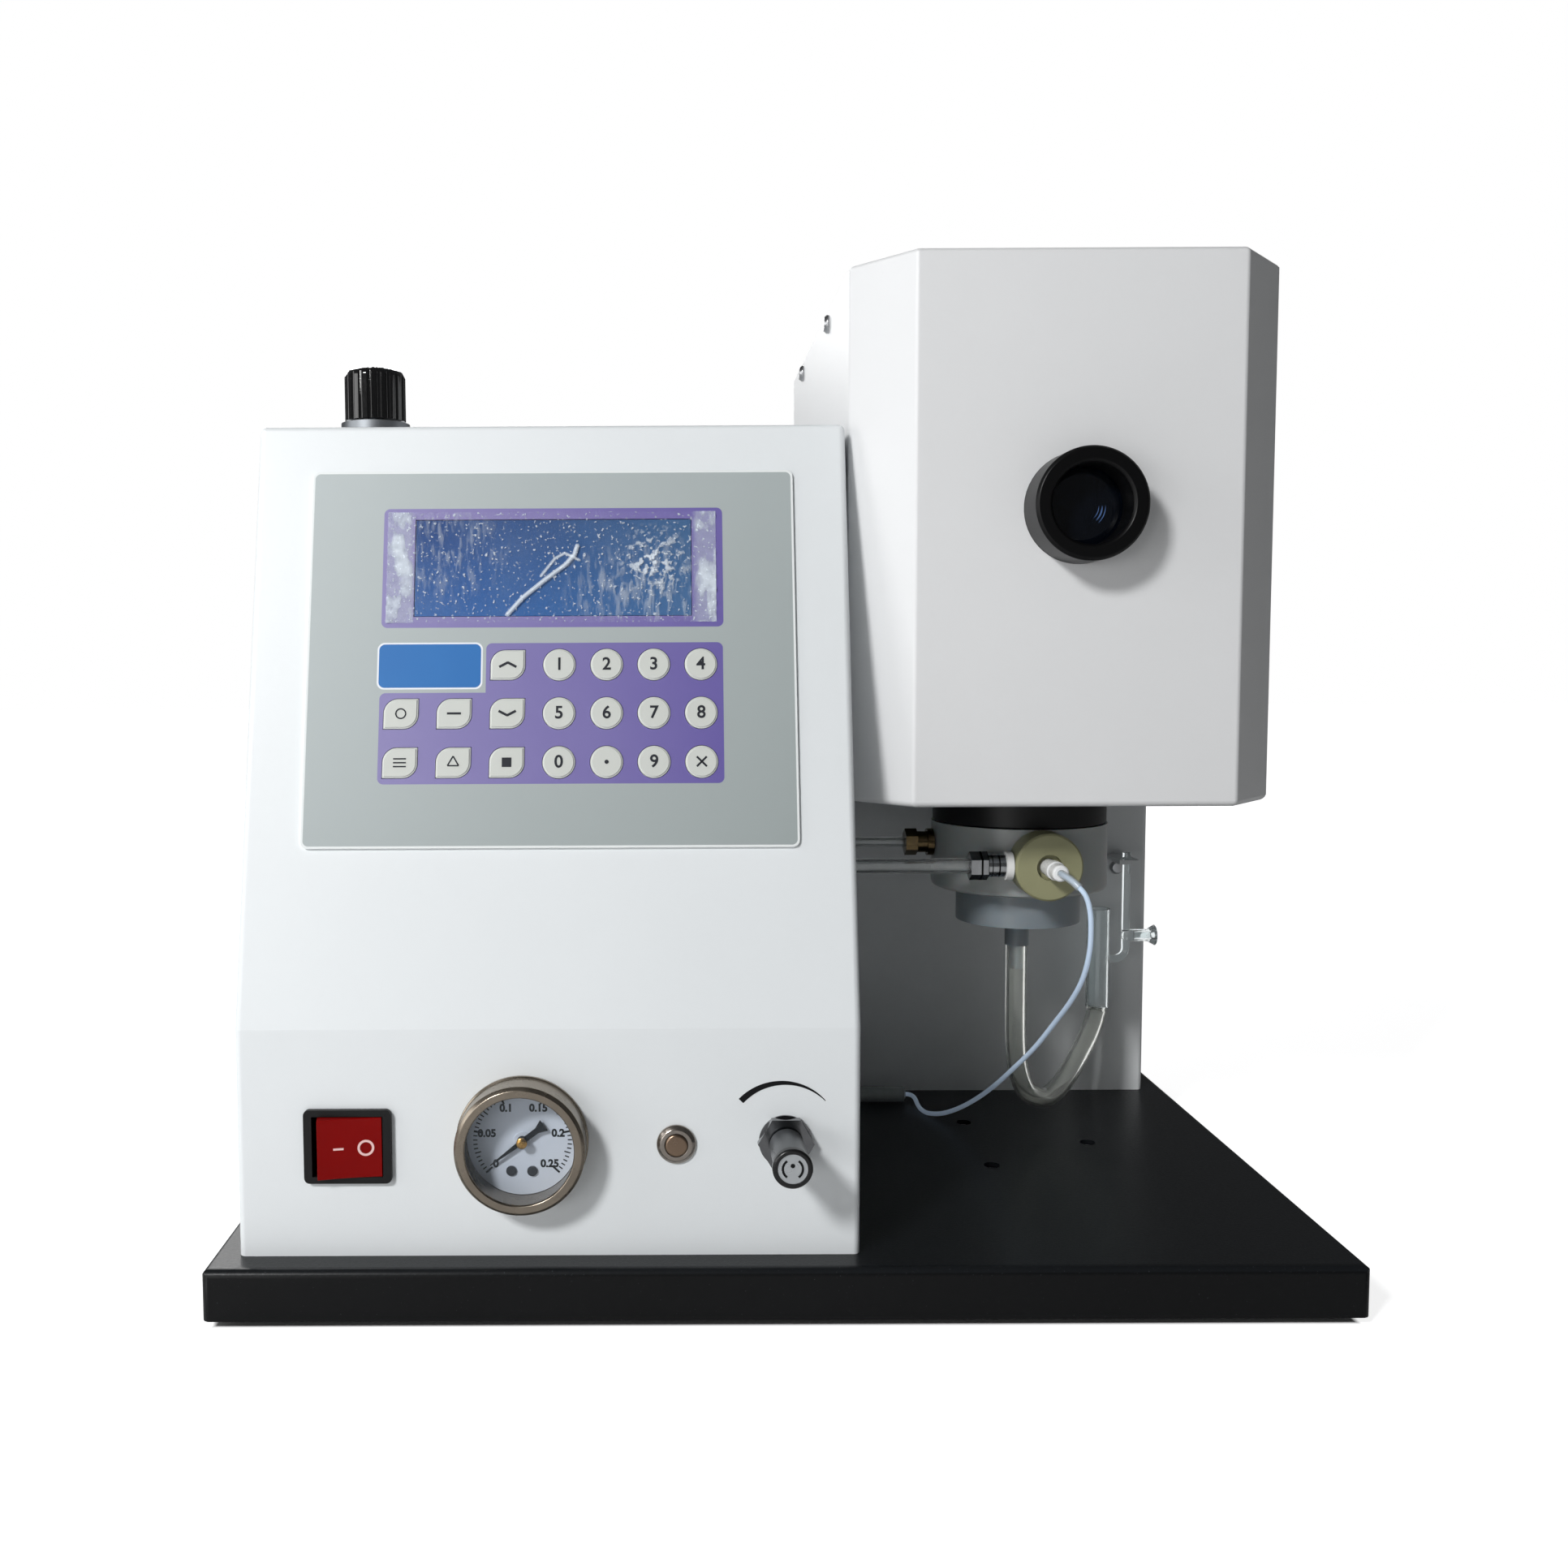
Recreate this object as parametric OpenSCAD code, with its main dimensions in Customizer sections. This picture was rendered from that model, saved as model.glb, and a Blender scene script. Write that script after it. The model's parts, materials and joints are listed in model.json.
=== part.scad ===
// Bench flame photometer: a console with keypad, gauge and gas controls beside a hooded burner
// with its mixing chamber, nebuliser and drain.
// X runs to the right, Y to the back, Z up. The origin is under the middle of the base tray, on
// the surface that the feet stand on.

/* [Base tray] */
// Depth of the console and of the tower with its hood, front sheet to rear sheet
housing_d = 276; // [270:1:290]
// Width of the console
console_w = 217; // [212:1:230]
// Width of the tower and hood
tower_w = 160; // [154:1:172]
// Gap between the console and the tower
housing_gap = 2; // [1:0.5:4]
// Free rim of the tray on the console's side
rim_left = 10; // [8:1:20]
// Free rim of the tray on the tower's side
rim_right = 11; // [8:1:20]
// Free rim of the tray at the front and rear
rim_end = 12; // [10:1:16]
// Height of the folded tray
tray_h = 18; // [15:1:24]
// Sheet thickness of the tray
tray_t = 2; // [1.5:0.5:3]
// Radius of the tray's folds and corners
tray_r = 3; // [2:0.5:5]
// How far the feet stand below the tray's rim
foot_drop = 3; // [2:0.5:6]
// Diameter of a foot
foot_d = 16; // [13:1:22]
// Inset of a foot's centre from the tray's sides
foot_inset = 25; // [18:1:36]

/* [Housing sheet] */
// Sheet thickness of the console, tower and hood
sheet = 1.5; // [1:0.25:2]
// Outer radius of the folds
fold_r = 2.5; // [2:0.5:4]
// Width of the inward flanges that take the screws
flange_w = 10; // [8:1:14]

/* [Console] */
// Height of the console over the tray
console_h = 294; // [280:1:310]
// Height of the upright front below the sloped panel
front_h = 80; // [76:1:84]
// Lean of the sloped panel from upright, in degrees
panel_tilt = 13.5; // [10:0.5:16]

/* [Membrane panel] */
// Width of the panel overlay
overlay_w = 176; // [170:1:180]
// Height of the panel overlay along the slope
overlay_h = 139; // [136:1:146]
// Thickness of the overlay with its key layer
overlay_t = 1.2; // [1:0.1:1.6]
// Corner radius of the overlay
overlay_r = 2.5; // [1:0.5:5]
// Overlay's left edge from the console's left side
overlay_x = 21; // [19:1:23]
// Overlay's lower edge above the bend, along the slope
overlay_s = 62.9; // [58:0.1:64]
// Width of the display window
window_w = 100.7; // [90:0.1:106]
// Height of the display window
window_h = 36.6; // [30:0.1:39]
// Window's left edge from the overlay's left edge
window_x = 38; // [36:1:42]
// Window's lower edge from the overlay's lower edge
window_s = 84; // [82:1:90]
// Diameter of a round key
key_d = 11.6; // [10:0.1:12]
// Width of a leaf-shaped key
leaf_w = 12.4; // [11:0.1:13]
// Height of a leaf-shaped key
leaf_h = 10.9; // [10:0.1:12]
// Key row spacing
row_pitch = 17.75; // [16:0.25:18]
// Lowest key row from the overlay's lower edge
row_first = 30.5; // [24:0.5:32]
// Height of a key's dome
key_h = 1.2; // [1:0.1:1.5]
// Free travel of a key
key_travel = 0.4; // [0.3:0.1:0.5]
// Gap round a key in the overlay
key_gap = 0.2; // [0.1:0.05:0.3]

/* [Rocker switch] */
// Width of the switch's bezel
bezel_w = 30.4; // [29:0.1:32]
// Height of the switch's bezel
bezel_h = 26; // [25:0.5:30]
// Thickness of the bezel in front of the sheet
bezel_t = 2; // [1.5:0.5:3]
// Half the width of the rocker
rocker_half = 11; // [10:0.1:11]
// Height of the rocker
rocker_h = 20.9; // [18:0.1:21]
// Swing of the rocker to each side of its middle, in degrees
rocker_swing = 10; // [8:1:11]
// Diameter of the rocker's pin
rocker_pin_d = 3; // [2.5:0.5:4]
// Switch centre from the console's left side
switch_x = 39; // [36:1:42]

/* [Pressure gauge] */
// Diameter of the gauge's front ring
gauge_d = 44.8; // [44:0.1:48]
// Diameter of the flange against the console
gauge_flange_d = 46; // [46:0.5:50]
// How far the gauge stands out of the console
gauge_h = 12.5; // [11:0.5:14]
// Diameter of the gauge's window
gauge_window_d = 37; // [34:0.5:38]
// Length of the pointer's tip from its spindle
pointer_l = 14; // [12:0.5:16]
// Length of the pointer's tail
pointer_tail = 9.5; // [7:0.5:11]
// Diameter of the pointer's spindle
spindle_d = 1.2; // [1:0.1:1.4]
// Direction of the pointer at zero, in degrees from +X
pointer_zero = 217; // [210:1:225]
// Gauge centre from the console's left side
gauge_x = 99.5; // [96:0.5:102]

/* [Ignition button] */
// Diameter of the button's bezel
ignition_bezel_d = 13.7; // [12.5:0.1:16]
// Diameter of the button's cap
ignition_cap_d = 8; // [7:0.5:9]
// How far the cap stands out
ignition_proud = 2.6; // [2.4:0.1:4]
// Travel of the button
ignition_travel = 2.2; // [1.5:0.1:2.4]
// Button centre from the console's right side
ignition_x = 64.1; // [62:0.1:68]

/* [Gas valve] */
// Width of the valve's hex nut across its flats
valve_nut_af = 17; // [15:1:20]
// Diameter of the valve's knob
valve_knob_d = 12; // [10:0.5:13]
// Diameter of the ring on the knob's end
valve_ring_d = 13.4; // [13.1:0.1:15]
// How far the knob's end stands out of the console
valve_reach = 28; // [24:1:32]
// Valve centre from the console's right side
valve_x = 26.2; // [24:0.1:30]

/* [Gas regulator] */
// Diameter of the regulator's knob
regulator_knob_d = 23; // [20:1:26]
// Height of the regulator's knob
regulator_knob_h = 19.5; // [16:0.5:24]
// Number of flutes on the regulator's knob
regulator_flutes = 20; // [12:1:24]
// Diameter of the regulator's panel nut
regulator_nut_d = 26; // [24:1:30]
// Height of the regulator's panel nut
regulator_nut_h = 4; // [3:0.5:6]
// Regulator centre from the console's left side
regulator_x = 39; // [36:1:44]
// Regulator centre behind the console's front
regulator_y = 73; // [72:1:90]

/* [Hood and tower] */
// Height of the tower over the tray
tower_h = 153; // [150:1:160]
// Depth of the tower
tower_d = 86; // [80:1:90]
// Height of the hood
hood_h = 200; // [196:1:210]
// Hood's front from the console's front
hood_setback = 33; // [28:1:40]
// Width of the hood's front chamfers
chamfer_w = 21; // [16:1:25]
// Depth of the hood's front chamfers
chamfer_d = 24.5; // [20:0.5:28]
// Thickness of the burner deck
deck_t = 2; // [1.5:0.5:3]
// Depth of the lid's folded rim inside the hood
lid_rim = 14; // [12:1:20]
// Diameter of the chimney
chimney_d = 50; // [49:1:54]
// Wall of the chimney
chimney_t = 1.5; // [1:0.25:2]
// Height of the chimney
chimney_h = 160; // [150:1:170]
// Diameter of the chimney's light windows
chimney_window_d = 24; // [18:1:28]

/* [Viewing tube] */
// Diameter of the viewing tube
view_d = 40; // [37:1:44]
// Bore of the viewing tube
view_bore_d = 28.2; // [24:0.1:29]
// How far the viewing tube stands out of the hood
view_proud = 17; // [12:1:22]
// Height of the viewing tube over the hood's lower edge
view_z = 108; // [100:1:112]

/* [Burner] */
// Burner axis behind the hood's front
burner_setback = 82; // [74:1:86]
// Diameter of the burner's collar
collar_d = 71; // [70:1:74]
// Height of the burner's collar
collar_h = 14; // [12:1:16]
// Pitch circle of the burner's screws, in the collar and in the tray
screw_pcd = 63; // [60:1:64]
// Diameter of the mixing chamber
chamber_d = 72; // [70:1:76]
// Height of the mixing chamber's wide part
chamber_h = 27.6; // [26:0.2:30]
// Diameter of the chamber's lower step
step_d = 51; // [44:1:56]
// Height of the chamber's lower step
step_h = 14.1; // [12:0.1:17]
// Diameter of the drain nipple
nipple_d = 10; // [9:0.5:12]
// Length of the drain nipple
nipple_l = 11.3; // [10:0.1:13]
// Wall of the mixing chamber
chamber_wall = 4; // [3.5:0.5:5]
// Diameter of the burner's neck
neck_d = 32; // [28:1:34]
// Diameter of the burner's head
head_d = 36; // [34:1:38]
// Height of the burner's head over the hood's lower edge
head_z = 62; // [56:1:66]
// Number of flame holes
flame_holes = 12; // [8:1:14]

/* [Nebuliser and fittings] */
// Diameter of the nebuliser's disc
neb_d = 26.5; // [24:0.5:27]
// Thickness of the nebuliser's disc
neb_t = 13; // [12:0.5:15]
// Nebuliser's axis over the lower edge of the chamber
neb_z = 14.6; // [14:0.1:16]
// Reach of the nebuliser's tip in front of its disc
tip_l = 15.6; // [12:0.1:18]
// Diameter of the nebuliser's tip
tip_d = 7.4; // [6.6:0.1:8]
// Diameter of the hose fittings
fitting_d = 11.3; // [10:0.1:12]
// Length of the air fitting
air_fitting_l = 16.6; // [14:0.1:20]
// Length of the gas fitting
gas_fitting_l = 11.8; // [10:0.1:14]
// Outer diameter of the air hose
air_hose_d = 6; // [5:0.5:7]
// Outer diameter of the gas hose
gas_hose_d = 4; // [3.5:0.5:5]
// Gas hose over the lower edge of the chamber
gas_z = 18.6; // [17:0.1:20]
// Reach of the inlet barbs behind the console's back plate
barb_l = 26.5; // [22:0.5:30]
// Diameter of an inlet barb's ridges
barb_d = 8; // [7:0.5:9]

/* [Drain] */
// Outer diameter of the drain tube
drain_d = 9; // [8.5:0.5:9.5]
// Bore of the drain tube
drain_bore_d = 6; // [5:0.5:7]
// Diameter of the trap's main glass tube
trap_d = 10.6; // [10:0.1:12]
// Length of the trap's main glass tube
trap_l = 46; // [40:1:50]
// Diameter of the trap's thin glass tube
riser_d = 3.7; // [3.4:0.1:4]

/* [Sample line] */
// Diameter of the sample capillary
capillary_d = 2; // [1.8:0.1:2.2]
// Diameter of the clear sleeve on the capillary's end
sleeve_d = 7.2; // [7:0.1:7.4]
// Length of the clear sleeve
sleeve_l = 32; // [24:1:40]

/* [Hidden] */
$fn = 64;
HULL_FN = 32;
eps = 0.01;
play = 0.05;    // radial play of everything that turns or slides
fit_gap = 0.2;  // clearance of plain pieces set into each other

// Housing frame
base_w = rim_left + console_w + housing_gap + tower_w + rim_right;
base_d = housing_d + 2 * rim_end;
tray_top = foot_drop + tray_h;
tray_ceiling = tray_top - tray_t;
console_left = -base_w / 2 + rim_left;
console_right = console_left + console_w;
front_y = -housing_d / 2;
rear_y = housing_d / 2;
bend_z = tray_top + front_h;
console_top = tray_top + console_h;
slope_back = (console_h - front_h) * tan(panel_tilt);
tower_left = console_right + housing_gap;
tower_right = tower_left + tower_w;
tower_front = rear_y - tower_d;
tower_top = tray_top + tower_h;
hood_top_z = tower_top + hood_h;
hood_front = front_y + hood_setback;
burner_x = (tower_left + tower_right) / 2;
burner_y = hood_front + burner_setback;
burner_turns = [0, 120, 240];

// Case screws
screw_d = 4;
screw_hole_d = screw_d + 0.2;
screw_head_d = 7.4;
screw_head_h = 2.2;
tray_hole_d = 6.6;
flange_screw = fold_r + flange_w / 2;   // screw line from a housing's outer face
flange_ends = 24;                       // first screw from a housing's end
back_plate_t = 1.5;
back_screw_ends = 24;

// Base tray fittings
board_post_d = 7;
board_post_h = 10;
board_t = 1.6;
board_w = 150;
board_d = 100;
transformer_w = 46;
transformer_d = 40;
transformer_h = 36;
board_left = console_left + 24;
board_front = 20;
board_hole_inset = 6;

// Control heights and openings in the console's front
switch_pos = [console_left + switch_x, tray_top + 39.5];
gauge_pos = [console_left + gauge_x, tray_top + 41];
ignition_pos = [console_right - ignition_x, tray_top + 39.6];
valve_pos = [console_right - valve_x, tray_top + 40.4];
switch_body_w = 27.6;
switch_body_h = 23.2;
switch_body_l = 20;
switch_cavity_half = 12.3;
rocker_gap = 0.2;
rocker_hinge_n = -3;
rocker_face = 7;
gauge_body_d = gauge_d - 3.8;
gauge_depth = 18;
gauge_lip = 1;
gauge_glass_t = 1.5;
gauge_bore_d = gauge_window_d + 2;
dial_n = -0.4;
dial_t = 0.6;
ignition_barrel_d = 10;
ignition_barrel_l = 24;
valve_barrel_d = 10;
valve_stem_d = 5;
valve_nut_h = 3;
valve_body_d = 20;
valve_body_l = 24;
regulator_pos = [console_left + regulator_x, front_y + regulator_y];
regulator_stem_d = 6;
regulator_barrel_d = 16;
regulator_body_d = 40;
regulator_body_h = 50;

// Key columns from the overlay's left edge, and the keys as [name, column, row, leaf-shaped]
key_columns = [34.4, 53.4, 72.4, 90.9, 107.9, 124.8, 141.7];
KEYS = [
    ["key_arrow_up", 2, 2, true],
    ["key_1", 3, 2, false],
    ["key_2", 4, 2, false],
    ["key_3", 5, 2, false],
    ["key_4", 6, 2, false],
    ["key_mode_1", 0, 1, true],
    ["key_mode_2", 1, 1, true],
    ["key_arrow_down", 2, 1, true],
    ["key_5", 3, 1, false],
    ["key_6", 4, 1, false],
    ["key_7", 5, 1, false],
    ["key_8", 6, 1, false],
    ["key_mode_3", 0, 0, true],
    ["key_mode_4", 1, 0, true],
    ["key_mode_5", 2, 0, true],
    ["key_0", 3, 0, false],
    ["key_point", 4, 0, false],
    ["key_9", 5, 0, false],
    ["key_clear", 6, 0, false]
];

// Burner, nebuliser and drain
collar_bottom = tower_top - collar_h;
chamber_bottom = collar_bottom - chamber_h;
step_bottom = chamber_bottom - step_h;
nipple_bottom = step_bottom - nipple_l;
neck_bore_d = 20;
spigot_l = 8;
flange_t = 2;
neb_front_y = burner_y - chamber_d / 2 - 1 - neb_t;
neb_axis_z = chamber_bottom + neb_z;
neb_neck_d = 18;
air_hose_y = neb_front_y + neb_t / 2;
gas_axis_z = chamber_bottom + gas_z;
hose_inside = 10;
igniter_r = (head_d + chimney_d - 2 * chimney_t) / 4;
igniter_d = 3;
igniter_z = tower_top - 6;
view_axis_z = tower_top + view_z;
lens_d = view_bore_d + 2;
lens_t = 6;
lens_ball_r = 42;
trap_aside = 52.4;
trap_x = burner_x + trap_aside;
trap_y = tower_front - 17;
trap_z = 66;
riser_x = trap_x + 12.6;
riser_bend_r = 5;
arm_z = trap_z + 22.4;
nozzle_z = arm_z + 11;
clip_z = 134;
clip_t = 2;
riser_top = clip_z + 4;
barb_x = [console_left + 30, console_left + 60];
barb_z = 60;
inlet_x = console_left + 165;
inlet_z = 62;
inlet_w = 48;
inlet_h = 28;
inlet_ear = 10;
detector_front = burner_y + chimney_d / 2 + 26;
detector_foot_t = 3;

// Route of the drain tube, from the chamber's nipple to the glass trap
drain_route = [
    for (p = [
        [0, burner_y, nipple_bottom], [0, burner_y, nipple_bottom - 15], [0.2, -22.5, 77],
        [1, -20.5, 63], [3, -17, 51], [7.5, -12, 41], [13, -7.5, 36.5], [19.5, -2, 34.5],
        [26.5, 4, 37], [33, 9.5, 43], [39, 15.5, 49.5], [44.5, 22, 55], [49, 28.5, 60],
        [trap_aside - 0.6, trap_y - 1, trap_z - 3], [trap_aside, trap_y, trap_z]
    ]) [burner_x + p[0], p[1], p[2]]
];

// Route of the sample capillary, from the nebuliser's tip to its sleeve on the tray
sleeve_y = 34.5;
sleeve_z = tray_top + sleeve_d / 2;
capillary_route = [
    for (p = [
        [0, neb_front_y - tip_l, neb_axis_z], [0.2, -92, 146.8], [1.8, -95.5, 145.6],
        [4.2, -98, 143.2], [6.4, -99, 140], [8, -98.5, 135], [9, -97, 128], [9.5, -94, 118],
        [9, -88, 107], [7.6, -78, 96], [5, -65, 84], [1.3, -50, 70], [-3, -36, 58],
        [-8, -22, 46], [-13.4, -11, 36.6], [-19.4, -1, 29], [-25, 7, 24.2],
        [-30, 13, 22.4], [-32.4, 19.3, 22.1], [-33.2, 26, 22.6], [-33.2, 30, 23.2],
        [-33.2, 31.9, 23.5], [-33.55, 33.2, sleeve_z], [-34.5, 34.15, sleeve_z],
        [-35.8, sleeve_y, sleeve_z], [-36.4, sleeve_y, sleeve_z], [-37, sleeve_y, sleeve_z]
    ]) [burner_x + p[0], p[1], p[2]]
];

KEY_NAMES = [for (k = KEYS) k[0]];

// Colours as the photograph shows them
steel_white = "#dfe4e7";
hood_grey = "#d5d6d8";
tray_black = "#1f2021";
glass_blue = "#bcd6e6";
milky = "#c9cdca";
dark_plastic = "#1b1b1c";

// ---- Helpers ----

// Places children on the upright front, x across, y up and z outwards
module on_front(pos) {
    translate([pos[0], front_y, pos[1]])
        rotate([90, 0, 0])
            children();
}

// Places children on the sloped panel, x across, y up the slope and z outwards
module on_slope(x = 0, s = 0) {
    translate([0, front_y, bend_z])
        rotate([90 - panel_tilt, 0, 0])
            translate([x, s, 0])
                children();
}

// Places children on the back plate, x across, y up and z backwards
module on_back(x, z) {
    translate([x, rear_y + back_plate_t, z])
        rotate([-90, 0, 0])
            mirror([0, 1, 0])
                children();
}

// Places children on each screw of the burner's pitch circle
module on_burner_screws(z) {
    for (turn = burner_turns)
        translate([burner_x, burner_y, z])
            rotate([0, 0, turn])
                translate([screw_pcd / 2, 0, 0])
                    children();
}

// Flat plate with true round corners, standing on z = 0
module round_plate(w, h, t, r) {
    linear_extrude(t)
        round_rect(w, h, r);
}

// Rectangle with true round corners, centred
module round_rect(w, h, r) {
    square([w - 2 * r, h], center = true);
    square([w, h - 2 * r], center = true);
    for (x = [-1, 1], y = [-1, 1])
        translate([x * (w / 2 - r), y * (h / 2 - r)])
            circle(r);
}

// Screw holes upright through a sheet of thickness t that stands on z, at places [x, y]
module upright_holes(places, z, t) {
    for (p = places)
        translate([p[0], p[1], z - 1])
            cylinder(d = screw_hole_d, h = t + 2);
}

// Screw holes along Y through a sheet of thickness t from y backwards, at places [x, z]
module level_holes(places, y, t) {
    for (p = places)
        translate([p[0], y - 1, p[1]])
            rotate([-90, 0, 0])
                cylinder(d = screw_hole_d, h = t + 2);
}

// Lid screw holes through both sides of the hood
module lid_holes() {
    for (p = lid_screws)
        translate([tower_left - 1, p[0], p[1]])
            rotate([0, 90, 0])
                cylinder(d = screw_hole_d, h = tower_w + 2);
}

// Hexagon prism by its width across flats
module hex(af, h) {
    cylinder(r = af / sqrt(3), h = h, $fn = 6);
}

// Screw with a low round head: the head stands on z = 0, the shank goes down
module screw(l, head_d = screw_head_d, head_h = screw_head_h) {
    rotate_extrude()
        polygon([
            [0, -l], [screw_d / 2 - 0.4, -l], [screw_d / 2, -l + 0.6], [screw_d / 2, 0],
            [head_d / 2, 0], [head_d / 2, head_h * 0.45], [head_d / 2 - 0.9, head_h],
            [0, head_h]
        ]);
}

// Outline of the hood seen from above, drawn in by an inset
function hood_outline(inset) =
    let (slant = sqrt(chamfer_w * chamfer_w + chamfer_d * chamfer_d))
    let (side_y = hood_front + chamfer_d + inset * (slant - chamfer_d) / chamfer_w)
    let (front_x = chamfer_w + inset * (slant - chamfer_w) / chamfer_d)
    [
        [tower_left + inset, rear_y - inset], [tower_left + inset, side_y],
        [tower_left + front_x, hood_front + inset],
        [tower_right - front_x, hood_front + inset], [tower_right - inset, side_y],
        [tower_right - inset, rear_y - inset]
    ];

// Solid of the hood's outline between two heights
module hood_prism(inset, z0, z1) {
    translate([0, 0, z0])
        linear_extrude(z1 - z0)
            polygon(hood_outline(inset));
}

// ---- Swept tubes ----

function unit(v) = v / norm(v);
function carried(side, along) = unit(side - (side * along) * along);

// Point on the smooth curve through the route, at t between point i and the next
function route_at(p, i, t) =
    let (a = p[max(i - 1, 0)])
    let (b = p[i])
    let (c = p[i + 1])
    let (d = p[min(i + 2, len(p) - 1)])
    0.5 * (2 * b + (c - a) * t + (2 * a - 5 * b + 4 * c - d) * t * t
        + (3 * b - a - 3 * c + d) * t * t * t);

// All centres along the route, with a number of steps in each span
function route_centres(p, steps) = concat(
    [for (i = [0:len(p) - 2], j = [0:steps - 1]) route_at(p, i, j / steps)], [p[len(p) - 1]]
);

function route_tangents(c) = [
    for (i = [0:len(c) - 1]) unit(c[min(i + 1, len(c) - 1)] - c[max(i - 1, 0)])
];

// Side direction of each ring, carried along without twist
function route_sides(tangents, i, side) = i == len(tangents) ? [] :
    let (now = carried(side, tangents[i]))
    concat([now], route_sides(tangents, i + 1, now));

function ring_points(c, tangents, sides, r, n) = [
    for (i = [0:len(c) - 1], k = [0:n - 1])
        let (a = 360 * k / n)
        c[i] + r * (cos(a) * sides[i] + sin(a) * cross(tangents[i], sides[i]))
];

// Two triangles for each facet between neighbouring rings
function skin_faces(rings, n, first) = [
    for (i = [0:rings - 2], k = [0:n - 1], half = [0, 1])
        let (a = first + i * n + k)
        let (b = first + i * n + (k + 1) % n)
        half == 0 ? [a, b, a + n] : [b, b + n, a + n]
];

function cap_faces(n, first) = [for (k = [1:n - 2]) [first, first + k, first + k + 1]];

function turned(faces) = [for (f = faces) [f[2], f[1], f[0]]];

// Two triangles for each piece of the flat ring between an outer and an inner circle of points
function end_faces(n, outer, inner) = [
    for (k = [0:n - 1], half = [0, 1])
        let (next = (k + 1) % n)
        half == 0 ? [outer + k, inner + k, outer + next] : [outer + next, inner + k, inner + next]
];

// Solid tube along a route
module swept_rod(route, r, n, steps) {
    c = route_centres(route, steps);
    tangents = route_tangents(c);
    sides = route_sides(tangents, 0, [1, 0, 0]);
    rings = len(c);
    polyhedron(
        points = ring_points(c, tangents, sides, r, n),
        faces = concat(
            turned(skin_faces(rings, n, 0)),
            cap_faces(n, 0),
            turned(cap_faces(n, (rings - 1) * n))
        )
    );
}

// Hollow tube along a route
module swept_hose(route, r_out, r_in, n, steps) {
    c = route_centres(route, steps);
    tangents = route_tangents(c);
    sides = route_sides(tangents, 0, [1, 0, 0]);
    rings = len(c);
    inner = rings * n;
    last = (rings - 1) * n;
    polyhedron(
        points = concat(
            ring_points(c, tangents, sides, r_out, n),
            ring_points(c, tangents, sides, r_in, n)
        ),
        faces = concat(
            turned(skin_faces(rings, n, 0)),
            skin_faces(rings, n, inner),
            turned(end_faces(n, 0, inner)),
            end_faces(n, last, inner + last)
        )
    );
}

// ---- Base ----

module tray_block(w, d, z0, z1, r) {
    intersection() {
        translate([0, 0, z0])
            linear_extrude(z1 - z0)
                round_rect(w, d, r);
        rotate([90, 0, 0])
            linear_extrude(d + 2, center = true)
                tray_profile(w, z0, z1, r);
        rotate([90, 0, 90])
            linear_extrude(w + 2, center = true)
                tray_profile(d, z0, z1, r);
    }
}

// Upright outline with round top corners
module tray_profile(w, z0, z1, r) {
    translate([-w / 2, z0])
        square([w, z1 - z0 - r]);
    translate([-w / 2 + r, z0])
        square([w - 2 * r, z1 - z0]);
    for (side = [-1, 1])
        translate([side * (w / 2 - r), z1 - r])
            circle(r);
}

// Screws that hold the console and the tower to the tray, as [x, y]
console_screws = [
    for (x = [console_left + flange_screw, console_right - flange_screw],
         y = [front_y + flange_ends, 0, rear_y - flange_ends]) [x, y]
];
tower_screws = [
    for (x = [tower_left + flange_screw, tower_right - flange_screw],
         y = [tower_front + flange_ends, rear_y - flange_ends]) [x, y]
];
tray_screws = concat(console_screws, tower_screws);

board_screws = [
    for (x = [board_left + board_hole_inset, board_left + board_w - board_hole_inset],
         y = [board_front + board_hole_inset, board_front + board_d - board_hole_inset]) [x, y]
];

foot_places = [
    for (x = [-1, 1], y = [-1, 1]) [x * (base_w / 2 - foot_inset), y * (base_d / 2 - foot_inset)]
];

module base_plate() {
    color(tray_black)
    difference() {
        tray_block(base_w, base_d, foot_drop, tray_top, tray_r);
        tray_block(base_w - 2 * tray_t, base_d - 2 * tray_t, foot_drop - 1, tray_ceiling,
            tray_r - tray_t + 0.5);
        on_burner_screws(tray_ceiling - 1)
            cylinder(d = tray_hole_d, h = tray_t + 2);
        upright_holes(concat(tray_screws, board_screws), tray_ceiling, tray_t);
    }
}

// Moulded rubber feet, pressed up against the tray's ceiling
module rubber_feet() {
    recess_r = 3;
    color(dark_plastic)
    for (p = foot_places)
        translate([p[0], p[1], 0])
            rotate_extrude()
                polygon([
                    [0, tray_ceiling], [0, foot_drop + 2], [recess_r, foot_drop + 2],
                    [recess_r, 0], [foot_d / 2 - 2, 0], [foot_d / 2 - 1, 1],
                    [foot_d / 2, tray_ceiling]
                ]);
}

// ---- Console ----

// Corner of the console's side outline: [y, z] of the fold's centre
console_corners = [
    [front_y + fold_r, bend_z - fold_r * tan(panel_tilt / 2)],
    [front_y + slope_back + fold_r * tan(45 - panel_tilt / 2), console_top - fold_r],
    [rear_y - fold_r, console_top - fold_r]
];

module console_block() {
    hull() {
        for (x = [console_left + fold_r, console_right - fold_r]) {
            for (y = [front_y + fold_r, rear_y - fold_r])
                translate([x, y, tray_top])
                    cylinder(r = fold_r, h = 1, $fn = HULL_FN);
            for (p = console_corners)
                translate([x, p[0], p[1]])
                    sphere(r = fold_r, $fn = HULL_FN);
        }
    }
}

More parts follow.
